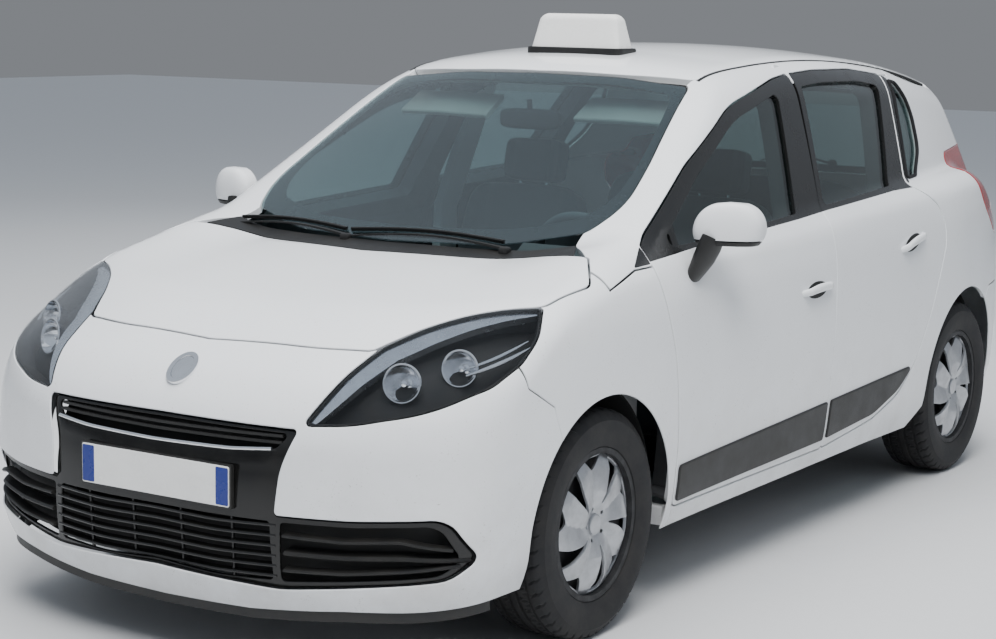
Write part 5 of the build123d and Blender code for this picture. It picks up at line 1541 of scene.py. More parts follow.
@dataclass(frozen=True)
class Headlamps:
    """Clear lens over a dark tray with two reflectors, a tusk and a bright upper band, one on each side."""

    depth: float = 78.0
    facing: tuple = (0.30, -0.93, 0.20)

    def bowl(self, at: np.ndarray, radius: float, deep: float) -> Shape:
        """Round reflector open towards the way it faces: a lip, a hollow and a bulb in its middle."""
        rows = [
            (0, radius + 3), (3, radius + 1), (3, radius - 2), (-deep * 0.35, radius * 0.88),
            (-deep * 0.75, radius * 0.62), (-deep, 15), (-deep + 2, 9), (-deep * 0.35, 8),
            (-deep * 0.28, 0.01), (-deep - 4, 0.01), (-deep - 4, 16), (-deep * 0.75 - 3, radius * 0.66)
        ]
        ring = lathe(rows, 56)
        turned = Vector((1, 0, 0)).rotation_difference(Vector(self.facing)).to_matrix()
        return Shape(ring.points @ np.array(turned).T + at, ring.triangles)

    def band(self, low: float, high: float, inset: float, wall: float) -> Shape:
        """Strip along the lamp's upper edge, from one depth inside the outline to another."""
        edge = LAMP.flat(on(LAMP, lamp_rows(), 0.0, 10.0))
        tip = LAMP.flat(np.array([HEADLAMP[0][:3], HEADLAMP[6][:3]], float))
        way = (tip[1] - tip[0]) / np.linalg.norm(tip[1] - tip[0])
        over = (edge - tip[0]) @ np.array([-way[1], way[0]])
        first = int(np.argmin(np.linalg.norm(edge - tip[0], axis=1)))
        last = int(np.argmin(np.linalg.norm(edge - tip[1], axis=1)))
        line = edge[first:last + 1] if first < last else np.concatenate([edge[first:], edge[:last + 1]])
        if over[(first + 5) % len(edge)] < 0:
            line = edge[last:first + 1] if last < first else np.concatenate([edge[last:], edge[:first + 1]])
        step = np.gradient(line, axis=0)
        out = np.stack([step[:, 1], -step[:, 0]], 1) / np.linalg.norm(step, axis=1, keepdims=True)
        middle = edge.mean(0)
        out *= np.sign(np.sum(out * (middle - line), axis=1))[:, None]
        t = np.linspace(0, 1, len(line))[:, None]
        fade = np.sin(math.pi * t) ** 0.6
        loop = np.concatenate(
            [line + out * low * (0.3 + 0.7 * fade), (line + out * (low + (high - low) * fade))[::-1]]
        )
        return Panel(
            LAMP, LAMP.lift(spaced(loop, 10.0)), inset=inset, wall=wall, roll=1.5, spacing=14.0
        ).shape()

    def build(self) -> None:
        """Put the lamps down."""
        rows = lamp_rows()
        lens = piece(LAMP, rows, inset=0.5, wall=3.0, roll=2.0, spacing=22.0)
        tray = piece(LAMP, rows, grow=-1.0, inset=self.depth, wall=4.0, roll=1.0, spacing=30.0)
        edge = piece(
            LAMP, rows, (on(LAMP, rows, -7.0),), -2.0, inset=4.0, wall=self.depth - 4, roll=2.0,
            spacing=20.0
        )
        put_both("headlamp_housings", tray.plus(edge), Look.DARK)
        put_both("headlamp_bright_bands", self.band(5.0, 64.0, 14.0, 20.0), Look.REFLECTOR)
        bowls = []
        for at, radius, deep in (((618, -1900, 776), 50, 44), ((722, -1790, 812), 47, 42)):
            bowls.append(self.bowl(near(LAMP, [at], 30.0)[0], radius, deep))
        put_both("headlamp_reflectors", bowls[0].plus(*bowls[1:]), Look.CHROME)
        t = np.linspace(0, 1, 26)
        low = LAMP.flat(np.array([(748, -1800, 790), (846, -1640, 872)], float))
        line = low[0] + (low[1] - low[0]) * t[:, None]
        line[:, 1] -= 10 * np.sin(math.pi * t)
        tusk = tube(
            LAMP.lift(line, 12.0), disc_section(6.0, 12), (0, 0, 1), scale=0.4 + 0.6 * np.sin(math.pi * t)
        )
        inner = LAMP.lift(line + [-6.0, 20.0], 14.0)
        tusk = tusk.plus(
            tube(inner, disc_section(5.0, 12), (0, 0, 1), scale=0.4 + 0.6 * np.sin(math.pi * t))
        )
        put_both("headlamp_light_guides", tusk, Look.CHROME)
        put_both("headlamp_lenses", lens, Look.CLEAR, ("headlamps",))


@dataclass(frozen=True)
class Cell:
    """The cabin's fixed frame: pillars, rails, sills, roof, windscreen, wipers, visors and inner mirror."""

    wall: float = 22.0

    def rail(self) -> Shape:
        """Left pillar and rail, from the wing to the quarter panel."""
        upper = np.array(RAIL_UPPER, float)
        lower = SIDE.lift(np.array([(-1238, 977), (-1072, 1015), (-940, 1017), *RAIL_LOWER[3:]], float))
        outer = chain(BARREL, BARREL.lift(BARREL.flat(upper)), lower[::-1], step=14.0)
        cuts = (
            *door_cuts(), on(TOP, both(ROOF), 1.0), on(TOP, both(BONNET), BONNET_CLEAR),
            on(FRONT_LOW, both(SCREEN), 4.0, part=Field.CABIN)
        )
        return Panel(BARREL, outer, cuts, wall=self.wall, roll=2.5, spacing=24.0).shape()

    def build(self) -> None:
        """Put the frame down."""
        rail = self.rail()
        sill = piece(SIDE, SILL, door_cuts(), wall=self.wall, roll=4.0, spacing=30.0)
        put_both("pillars_rails_and_sills", rail.plus(sill), Look.WHITE, ("side_frames",))
        inner = [
            box((690, -901, 237), (846, 545, 296), 6), box((690, -998, 240), (735, -866, 928), 6),
            tube(
                np.array([(713, 195, 285), (711, 228, 1005), (576, 325, 1550)], float),
                np.array([(-52, -18), (52, -18), (52, 18), (-52, 18)]), (1, 0, 0)
            )
        ]
        put_both("inner_posts", inner[0].plus(*inner[1:]), Look.WHITE)
        roof = piece(TOP, both(ROOF), grow=-0.5, wall=self.wall, roll=3.0, spacing=40.0)
        put("roof_skin", roof, Look.WHITE, SHELL, ("roof_panel",))
        lining = Panel(
            TOP, on(TOP, both(ROOF), 20.0), inset=30.0, wall=8.0, roll=3.0, spacing=60.0, part=Field.CABIN
        )
        put("roof_lining", lining.shape(), Look.LINING, SHELL)
        self.ditches()
        self.screen()
        self.wipers()
        self.visors()

    def visors(self) -> None:
        """Sun visors hanging along the windscreen's upper edge, and the inner mirror on its stalk."""
        slab = np.array([(-66, -5), (-62, -9), (62, -9), (66, -5), (66, 5), (62, 9), (-62, 9), (-66, 5)])
        flaps = [
            tube(
                np.array([(x - 172, -268, 1412), (x, -278, 1414), (x + 172, -268, 1408)], float), slab,
                (0, -0.5, 0.86)
            ) for x in (345.0, -345.0)
        ]
        put("sun_visors", flaps[0].plus(flaps[1]), Look.LINING, SHELL)
        glass = blob((0, -318, 1376), (118, 17, 34), 0.45, (48, 24))
        stalk = tube(np.array([(0, -322, 1400), (0, -330, 1440)], float), disc_section(9, 12), (0, 1, 0))
        put("inner_mirror", outwards(glass).plus(stalk), Look.DARK, SHELL)

    def ditches(self) -> None:
        """Black strips in the joints between the roof and its rails."""
        line = trace(TOP, [(561, -214), (566, 250, 2000), (566, 1000, 2000), (553, 1700)], 30.0)
        strip = tube(
            line - FORM.normal(line) * 1.0,
            np.array([(-7, -6), (7, -6), (7, 1.0), (5, 2.2), (-5, 2.2), (-7, 1.0)]), (0, 0, 1)
        )
        put_both("roof_joint_strips", strip, Look.TRIM)

    def screen(self) -> None:
        """Windscreen with its black printed border, and the border's wide lower corners."""
        glass = Panel(
            FRONT_LOW, on(FRONT_LOW, both(SCREEN), 0.0, part=Field.CABIN), inset=0.5, wall=4.5, roll=1.5,
            spacing=40.0, part=Field.CABIN
        ).shape()
        put("windscreen", glass, Look.SCREEN, SHELL)
        inner = [
            (0, 1078, 0), (380, 1088, 900), (556, 1128, 80), (612, 1180, 200), (600, 1277, 900),
            (564, 1396, 900), (528, 1474, 50), (300, 1496, 1500), (0, 1500, 0)
        ]
        border = Panel(
            FRONT_LOW, on(FRONT_LOW, both(SCREEN), -1.0, part=Field.CABIN),
            (on(FRONT_LOW, both(inner), part=Field.CABIN),), inset=6.0, wall=2.0, roll=0.5, spacing=40.0,
            part=Field.CABIN
        )
        put("windscreen_border", border.shape(), Look.SMOOTH, SHELL)

    def wipers(self) -> None:
        """Two wiper arms lying along the windscreen's foot, with their blades."""
        shapes = []
        for x0, x1 in ((420, -130), (-150, -640)):
            t = np.linspace(0, 1, 24)
            x = x0 + (x1 - x0) * t
            z = 1046 + 12 * np.sin(math.pi * t)
            arm = FRONT_LOW.lift(np.stack([x, z], 1), -14.0, Field.CABIN)
            blade = FRONT_LOW.lift(np.stack([x - 30, z + 14], 1), -5.0, Field.CABIN)
            arm[:, 2] += 6 * np.sin(math.pi * t)
            shapes.append(
                tube(arm, np.array([(-8, -3), (8, -3), (8, 3), (-8, 3)]), (0, 0, 1), scale=1.15 - 0.5 * t)
            )
            shapes.append(
                tube(blade, np.array([(-3, -6), (3, -6), (6, 3), (4, 6), (-4, 6), (-6, 3)]), (0, 0, 1))
            )
            pivot = arm[0] + np.array([0, -2, -8])
            shapes.append(blob(tuple(pivot), (17, 17, 14), 0.6, (28, 14)))
        put("wiper_arms_and_blades", shapes[0].plus(*shapes[1:]), Look.TRIM, SHELL)


@dataclass(frozen=True)
class Door:
    """One pair of side doors: painted skin, black frame, inner trim, glass, moulding and handle."""

    name: str
    outline: list
    window: list
    moulding: list
    handle: tuple
    skin: float = 30.0

    def handle_shapes(self) -> tuple[Shape, Shape]:
        """Pull handle, and a dark oval sheet of painted shade on the skin where the hollow behind it lies.
        """
        (y0, z0), (y1, z1) = self.handle
        t = np.linspace(0, 1, 30)
        stand = 20.0 * np.clip(np.sin(math.pi * t) * 2.2, 0, 1)
        flat = np.stack([y0 + (y1 - y0) * t, z0 + (z1 - z0) * t + 6 * np.sin(math.pi * t)], 1)
        skin = SIDE.lift(flat)
        path = skin + FORM.normal(skin) * (stand - 5)[:, None]
        grip = tube(path, disc_section(8.5, 16, 1.55), (0, 0, 1), scale=0.82 + 0.28 * np.sin(math.pi * t))
        middle = np.array([(y0 + y1) / 2, (z0 + z1) / 2])
        a = np.linspace(0, 2 * math.pi, 40, endpoint=False)
        oval = middle + np.stack(
            [0.34 * (y1 - y0) * np.cos(a), 27 * np.sin(a) + 0.34 * (z1 - z0) * np.cos(a)], 1
        )
        # Painted shade: a thin dark oval laid on the skin stands for the shade in the hollow behind the grip
        hollow_shade = Panel(SIDE, SIDE.lift(oval), inset=-0.6, wall=1.4, roll=0.6, spacing=14.0).shape()
        return grip, hollow_shade

    def build(self) -> None:
        """Put the doors of both sides down."""
        bodies = (f"{self.name}_door_left", f"{self.name}_door_right")
        doors = tuple((f"door_{self.name}_{side}",) for side in SIDES)
        panes = tuple((f"door_glass_{self.name}_{side}",) for side in SIDES)
        line, window = on(SIDE, self.outline), on(SIDE, self.window)
        skin = Panel(
            SIDE, line, (on(SIDE, ABOVE_WAIST, step=30.0),), wall=self.skin, roll=3.0, spacing=26.0
        ).shape()
        frame = Panel(
            SIDE, line, (on(SIDE, BELOW_WAIST, step=30.0), window), inset=1.5, wall=self.skin, roll=2.0,
            spacing=26.0
        ).shape()
        put_pair(f"{self.name}_door_skin", skin, Look.WHITE, bodies, doors)
        put_pair(f"{self.name}_door_frame", frame, Look.SMOOTH, bodies)
        seal = on(SIDE, self.window, 10.0)
        trim = piece(
            SIDE, self.outline, (seal,), -28.0, inset=self.skin + 1, wall=58.0, roll=9.0, spacing=40.0
        )
        put_pair(f"{self.name}_door_trim", trim, Look.CABIN, bodies)
        glass = piece(SIDE, self.window, grow=6.0, inset=12.0, wall=4.0, roll=0.8, spacing=40.0)
        put_pair(f"{self.name}_door_window", glass, Look.WINDOW, bodies, panes)
        strip = piece(SIDE, self.moulding, inset=-7.0, wall=9.0, roll=5.0, spacing=26.0)
        put_pair(f"{self.name}_door_moulding", strip, Look.TRIM, bodies)
        grip, hollow_shade = self.handle_shapes()
        put_pair(f"{self.name}_door_handle", grip, Look.WHITE, bodies)
        # Painted shade of the hollow behind each handle
        put_pair(f"{self.name}_door_handle_hollow_shade", hollow_shade, Look.DARK, bodies)


@dataclass(frozen=True)
class QuarterLight:
    """Black corner with a small fixed light and a divider, at the front tip of the front door's window."""

    reach: float = -770.0
    light: tuple = ((-862, 1062, 4), (-804, 1060, 4), (-804, 1094, 6), (-838, 1076, 10))

    def build(self) -> None:
        """Put both down, with the black tip on the pillar ahead of the door."""
        line = on(SIDE, FRONT_WINDOW, 3.0)
        behind = SIDE.lift(
            rounded([(self.reach, 1000), (200, 1000), (200, 1500), (self.reach, 1500)], 30.0)
        )
        cuts = (behind, on(SIDE, list(self.light)))
        shape = Panel(SIDE, line, cuts, inset=5.0, wall=16.0, roll=1.5, spacing=16.0).shape()
        put_pair("front_door_corner_cover", shape, Look.SMOOTH, ("front_door_left", "front_door_right"))
        tip = Panel(
            SIDE, on(SIDE, [(-1072, 1018, 2), (-980, 1021, 2), (-982, 1068, 2)], step=8.0), inset=-0.8,
            wall=1.6, roll=0.6, spacing=14.0
        ).shape()
        put_both("pillar_corner_covers", tip, Look.SMOOTH)


@dataclass(frozen=True)
class Mirror:
    """Door mirrors: domed white housing over a black lower half, black foot and mirror glass."""

    centre: tuple = (938.0, -735.0, 1126.0)
    half: tuple = (98.0, 46.0, 62.0)
    sweep: float = 0.28

    def dome(self, low: float, high: float, swell: float) -> Shape:
        """Housing between two heights: a rounded slab in plan that closes in towards its top and bottom.

        The width at a height follows a curve that is widest a little under the middle and draws in
        more at the outer end, and the face towards the rear stays flat.
        """
        a = np.linspace(0, 2 * math.pi, 72, endpoint=False)[:, None]
        v = np.linspace(0, 1, 26)
        z = low + (high - low) * v
        level = np.clip((z + 22) / 84.0, -1, 1)
        wide = np.sqrt(np.maximum(1 - np.where(level > 0, level, level * 1.2) ** 2, 0)) ** 0.8
        wide = np.where((v == 0) | (v == 1), wide * 0.0, wide)
        c, s = np.cos(a), np.sin(a)
        x = soft(c, 0.75) * self.half[0] * wide + 6 * level
        y = np.where(
            s > 0, np.abs(s) ** 0.35 * 52, -np.abs(s) ** 0.8 * 50
        ) * wide ** np.where(s > 0, 0.35, 0.8) * swell
        y = y + self.sweep * (x + self.half[0])
        points = np.stack([x, y, z + 0 * x], -1) + np.array(self.centre)
        return outwards(surface(a, v, points, wrap_u=True))

    def build(self) -> None:
        """Put both mirrors down."""
        bodies = ("front_door_left", "front_door_right")
        nodes = tuple((f"door_mirror_{side}",) for side in SIDES)
        x, y, z = self.centre
        put_pair("mirror_housing", self.dome(-54.0, 62.0, 1.0), Look.WHITE, bodies, nodes)
        put_pair("mirror_lower_half", self.dome(-66.0, -53.5, 0.97), Look.TRIM, bodies)
        face = Plain((x, y + 54.0 + self.sweep * self.half[0], z - 6), (-1, -self.sweep, 0), (0, 0, 1))
        rows = [(-84, -44, 20), (82, -42, 20), (68, 34, 40), (-58, 44, 46)]
        rim = Panel(face, face.lift(rounded(rows, 10.0)), wall=6.0, roll=2.5, spacing=20.0).shape()
        put_pair("mirror_rim", rim, Look.TRIM, bodies)
        pane = Panel(
            face, face.lift(offset(rounded(rows, 10.0), -6.0)), inset=-1.0, wall=2.0, roll=0.5, spacing=30.0
        )
        put_pair("mirror_glass", pane.shape(), Look.CHROME, bodies)
        foot = np.array(
            [
                (846, y - 22, 950), (866, y - 24, 984), (884, y - 20, 1020), (896, y - 8, 1056),
                (902, y, 1078)
            ],
            float
        )
        a = np.linspace(0, 2 * math.pi, 28, endpoint=False)
        section = np.stack([52 * soft(np.cos(a), 0.8), 24 * np.sin(a)], 1)
        put_pair(
            "mirror_foot", tube(foot, section, (1, 0, 0), scale=np.array([0.62, 0.86, 1.0, 1.04, 1.0])),
            Look.TRIM, bodies
        )


@dataclass(frozen=True)
class RearEnd:
    """Quarter panels with their glass, tail lamps, tailgate and rear bumper."""

    wall: float = 14.0

    def quarter(self) -> Shape:
        """Left rear side panel up to the roof's edge, cut by the door, window, lamp, tailgate and arch."""
        low = trace(
            SIDE, [(545.3, 250), (900, 246), (1396, 560), (1575, 624), (1680, 694, 30), (1900, 696)]
        )
        back = near(CORNER, [
            (590, 2060, 697), (590, 2050, 800), (590, 2030, 900), (540, 1930, 1200), (500, 1840, 1440),
            (500, 1790, 1500)
        ])
        top = TOP.lift([(549.6, 1758), (561.6, 1244)])
        front = trace(SIDE, [(1242, 1540), (1242, 1508), (1110, 1508), (600, 1100)])
        outer = chain(CORNER, low, back, top, front, step=14.0)
        cuts = (
            on(SIDE, REAR_DOOR, DOOR_CLEAR), on(SIDE, QUARTER_WINDOW), on(SIDE, TAIL_LAMP, 2.0),
            on(REAR, both(TAILGATE), LID_CLEAR), arch(REAR_AXLE, REAR_ARCH)
        )
        return Panel(CORNER, outer, cuts, wall=self.wall, roll=3.0, spacing=26.0).shape()

    def build(self) -> None:
        """Put the rear down."""
        put_both("quarter_panel_skins", self.quarter(), Look.WHITE, ("quarter_panels",))
        glass = piece(SIDE, QUARTER_WINDOW, grow=4.0, inset=9.0, wall=4.0, roll=0.8, spacing=30.0)
        put_both("quarter_glasses", glass, Look.WINDOW, ("fixed_glass",))
        seal = tube(on(SIDE, QUARTER_WINDOW, -3.0), disc_section(7, 8), (1, 0, 0), closed=True)
        put_both("quarter_glass_seals", seal, Look.SEAL)
        rows = [(994, 1126, 6), (1150, 1512, 10), (1198, 1502, 12), (1022, 1136, 6)]
        film = piece(SIDE, rows, (on(SIDE, REAR_DOOR, 4.5),), inset=-0.8, wall=1.6, roll=0.6, spacing=20.0)
        put_both("quarter_divider_films", film, Look.SMOOTH)
        self.lamps()
        self.tailgate()
        self.bumper()

    def lamps(self) -> None:
        """Tail lamps: red lens with a pale band."""
        side = trace(
            SIDE, [(1860, 1222), (1564, 1204, 40), (1640, 1010, 150), (1790, 893, 60), (1960, 893)]
        )
        back = near(CORNER, [(600, 2030, 893), (545, 1930, 1222)])
        outer = chain(CORNER, side, back, step=14.0)
        gate = on(REAR, both(TAILGATE), LID_CLEAR)
        lens = Panel(CORNER, outer, (gate,), inset=-1.0, wall=16.0, roll=4.0, spacing=24.0).shape()
        put_both("tail_lamp_lenses", lens, Look.RED, ("tail_lamps",))
        rows = [(1716, 1000, 20), (1800, 945, 20), (1900, 960, 20), (1900, 1030, 20)]
        band = piece(SIDE, rows, inset=-1.8, wall=1.6, roll=0.6, spacing=20.0)
        put_both("tail_lamp_pale_bands", band, Look.PALE)

    def tailgate(self) -> None:
        """Tailgate with its glass, handle strip, plate and wiper."""
        line, window = on(REAR, both(TAILGATE)), on(REAR, both(REAR_GLASS))
        skin = Panel(
            TAIL_VIEW, line, (window, on(TOP, both(ROOF), 5.0)), wall=20.0, roll=3.5, spacing=34.0
        ).shape()
        put("tailgate_skin", skin, Look.WHITE, "rear_hatch", ("tailgate",))
        glass = Panel(
            TAIL_VIEW, on(REAR, both(REAR_GLASS), 5.0), inset=10.0, wall=4.0, roll=0.8, spacing=40.0
        ).shape()
        put("tailgate_window", glass, Look.WINDOW, "rear_hatch", ("tailgate_glass",))
        ring = Panel(
            TAIL_VIEW, on(REAR, both(REAR_GLASS), 8.0), (on(REAR, both(REAR_GLASS), -26.0),), inset=-0.8,
            wall=6.0, roll=0.8, spacing=30.0
        ).shape()
        put("tailgate_window_border", ring, Look.SMOOTH, "rear_hatch")
        rows = [(-300, 938, 10), (300, 938, 10), (300, 974, 16), (-300, 974, 16)]
        strip = Panel(TAIL_VIEW, on(REAR, rows), inset=-9.0, wall=12.0, roll=4.0, spacing=30.0).shape()
        put("tailgate_handle_strip", strip, Look.WHITE, "rear_hatch")
        spot = REAR.lift([(0.0, 860.0)])[0]
        out = FORM.normal(spot[None])[0]
        up = np.cross([-1.0, 0, 0], out)
        up = up if up[2] > 0 else -up
        face = Plain(tuple(spot + 8 * out), (-1, 0, 0), tuple(up))
        number_plate("rear_plate", face, (260, 55), 236, 6.0, "rear_hatch")
        t = np.linspace(0, 1, 20)
        arm = REAR.lift(np.stack([20 - 330 * t, 1098 + 26 * np.sin(math.pi * t)], 1), -12.0)
        wiper = tube(arm, np.array([(-6, -3), (6, -3), (6, 4), (-6, 4)]), (0, 0, 1), scale=1.3 - 0.5 * t)
        put(
            "rear_wiper", wiper.plus(blob(tuple(arm[0]), (20, 12, 20), 0.7, (28, 14))), Look.TRIM,
            "rear_hatch"
        )

    def bumper(self) -> None:
        """Rear bumper skin with a dark lower band."""
        side = trace(SIDE, [(1880, 690), (1680, 690, 30), (1575, 620), (1560, 500)])
        low = near(STERN, [
            (905, 1560, 230), (880, 1700, 215), (830, 1900, 205), (700, 2060, 195), (400, 2150, 185),
            (0, 2160, 185)
        ])
        high = REAR.lift([(0.0, 690.0), (600.0, 690.0), (700.0, 690.0)])
        left = np.concatenate([high, side, low])
        outer = chain(STERN, left, flipped(left[-2:0:-1]), step=14.0)
        bow = arch(REAR_AXLE, REAR_ARCH)
        cuts = (on(REAR, both(TAILGATE), LID_CLEAR), bow, flipped(bow))
        skin = Panel(STERN, outer, cuts, wall=5.0, roll=3.0, spacing=30.0).shape()
        put("rear_bumper_skin", skin, Look.WHITE, SHELL, ("rear_bumper",))
        rows = [(0, 262, 0), (640, 270, 30), (600, 372, 40), (0, 384, 0)]
        band = Panel(STERN, on(REAR, both(rows)), inset=-3.0, wall=5.0, roll=2.5, spacing=30.0).shape()
        put("rear_bumper_band", band, Look.TRIM, SHELL)


@dataclass(frozen=True)
class RoofSign:
    """The blank taxi sign: a tapered white box with rounded edges on a dark foot."""

    y: float = 0.0
    foot: float = 1606.0
    high: float = 118.0

    def build(self) -> None:
        """Put the sign down."""
        a = np.linspace(0, 2 * math.pi, 96, endpoint=False)
        v = np.concatenate(
            [[0.0], np.linspace(0.02, 0.8, 8), 0.8 + 0.2 * np.sin(np.linspace(0.1, math.pi / 2, 12))]
        )
        round_off = np.sqrt(np.maximum(1 - np.clip((v - 0.8) / 0.2, 0, 1) ** 2, 0))
        c, s = np.cos(a)[:, None], np.sin(a)[:, None]
        wide = 175 - 26 * v - 26 * (1 - round_off)
        deep = 60 - 28 * v - 20 * (1 - round_off)
        wide, deep = np.where(v >= 1, 0, wide), np.where(v >= 1, 0, deep)
        x, y = wide * soft(c, 0.26), deep * soft(s, 0.26)
        z = self.foot - 2 + self.high * v + 0 * x
        shell = surface(a, v, np.stack([x, y + self.y, z], -1), wrap_u=True)
        put("sign_body", outwards(shell), Look.SIGN, SHELL, ("roof_sign",))
        face = Plain((0, self.y, self.foot + 3), (1, 0, 0), (0, 1, 0))
        base = slab(face, (187, 70), 30, step=12.0, wall=30.0, roll=6.0, spacing=40.0)
        put("sign_foot", base, Look.TRIM, SHELL)


class SeatMaker:
    """Front seats and rear bench, each cushion a swollen and seamed pad."""

    def pad(self, name: str, centre: tuple, half: tuple, turn: float) -> bpy.types.Object:
        """One cushion: a superellipsoid with swollen faces and seams pressed across it, tilted about X."""
        a, b, x, y, z = pillow((96, 48), 0.32)
        swell = 1 + 0.16 * (1 - x * x) * (1 - y * y)
        seam = 0.05 * np.exp(-((np.abs(x) - 0.62) / 0.035) ** 2) + 0.035 * np.exp(-((y - 0.1) / 0.03) ** 2)
        wrinkle = 0.012 * np.sin(9 * x + 3 * y) * np.sin(7 * y - 2 * x)
        z = z * (swell - seam + wrinkle)
        bolster = 0.20 * np.clip(np.abs(x) - 0.66, 0, 1) / 0.34
        z = z + np.where(z > 0, bolster, 0)
        points = np.stack([x * half[0], y * half[1], z * half[2]], -1)
        c, s = math.cos(math.radians(turn)), math.sin(math.radians(turn))
        spin = np.array([[1, 0, 0], [0, c, -s], [0, s, c]])
        shape = surface(a, b, points @ spin.T + np.array(centre), wrap_u=True)
        return put(name, outwards(shape), Look.CLOTH, SHELL, sharp=60.0)

    def build(self) -> None:
        """Put all seats down."""
        for side, x in (("left", 370.0), ("right", -370.0)):
            self.pad(f"front_cushion_{side}", (x, -185, 475), (243, 238, 80), 5)
            self.pad(f"front_backrest_{side}", (x, 195, 810), (238, 300, 62), 72)
            self.pad(f"front_headrest_{side}", (x, 318, 1186), (118, 78, 42), 78)
        self.pad("rear_cushion", (0, 870, 510), (556, 225, 82), 4)
        self.pad("rear_backrest", (0, 1165, 835), (556, 272, 60), 75)
        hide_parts("seats")
        bases = [box((x - 190, -330, 256), (x + 190, 110, 400), 8) for x in (370.0, -370.0)]
        bases.append(box((-540, 660, 426), (540, 1090, 450), 6))
        stalks = [
            tube(
                np.array([(x + dx, 285, 1050), (x + dx, 306, 1130)], float), disc_section(7, 12), (0, 1, 0)
            ) for x in (370.0, -370.0) for dx in (-55, 55)
        ]
        put("seat_bases", bases[0].plus(*bases[1:]), Look.CABIN, SHELL)
        put("headrest_stalks", stalks[0].plus(*stalks[1:]), Look.CHROME, SHELL)


@dataclass(frozen=True)
class SteeringWheel:
    """Steering wheel: gripped rim, three spokes and a padded boss, square to its column."""

    centre: tuple = (370.0, -545.0, 940.0)
    axis: tuple = (0.0, 0.9, 0.436)
    rim: float = 178.0

    def build(self) -> None:
        """Put the wheel down."""
        ring = tube(
            wheel_path(self.centre, self.axis, self.rim, 96), disc_section(14.5, 20), self.axis, closed=True
        )
        axis = np.array(self.axis) / np.linalg.norm(self.axis)
        right = np.array([1.0, 0, 0])
        up = np.cross(axis, right)
        up = up if up[2] > 0 else -up
        spokes = []
        for angle in (5, 175, 270):
            way = math.cos(math.radians(angle)) * right + math.sin(math.radians(angle)) * up
            path = np.array(self.centre) + np.linspace(30, self.rim - 4, 10)[:, None] * way
            spokes.append(
                tube(
                    path, np.array([(-20, -6), (20, -6), (22, 0), (20, 6), (-20, 6), (-22, 0)]),
                    tuple(axis), scale=np.linspace(1.2, 0.75, 10)
                )
            )
        boss = blob((0, 0, 0), (66, 58, 24), 0.6, (48, 24))
        turn = np.stack([right, up, axis], 1)
        hub = Shape(boss.points @ turn.T + np.array(self.centre), boss.triangles)
        put(
            "steering_rim_and_boss", ring.plus(*spokes, outwards(hub)), Look.CABIN, "driver_wheel",
            ("steering_wheel",)
        )


# The wheel cover: its double spokes, how far they swirl from the middle to the slots' ends, and both radii
SPOKES, SWIRL, SLOT_END, COVER_EDGE = 5, -0.26, 193.0, 206.0


def swirl(radius: np.ndarray) -> np.ndarray:
    """How far a spoke has turned at a radius, in radians."""
    return SWIRL * (radius / SLOT_END) ** 1.3


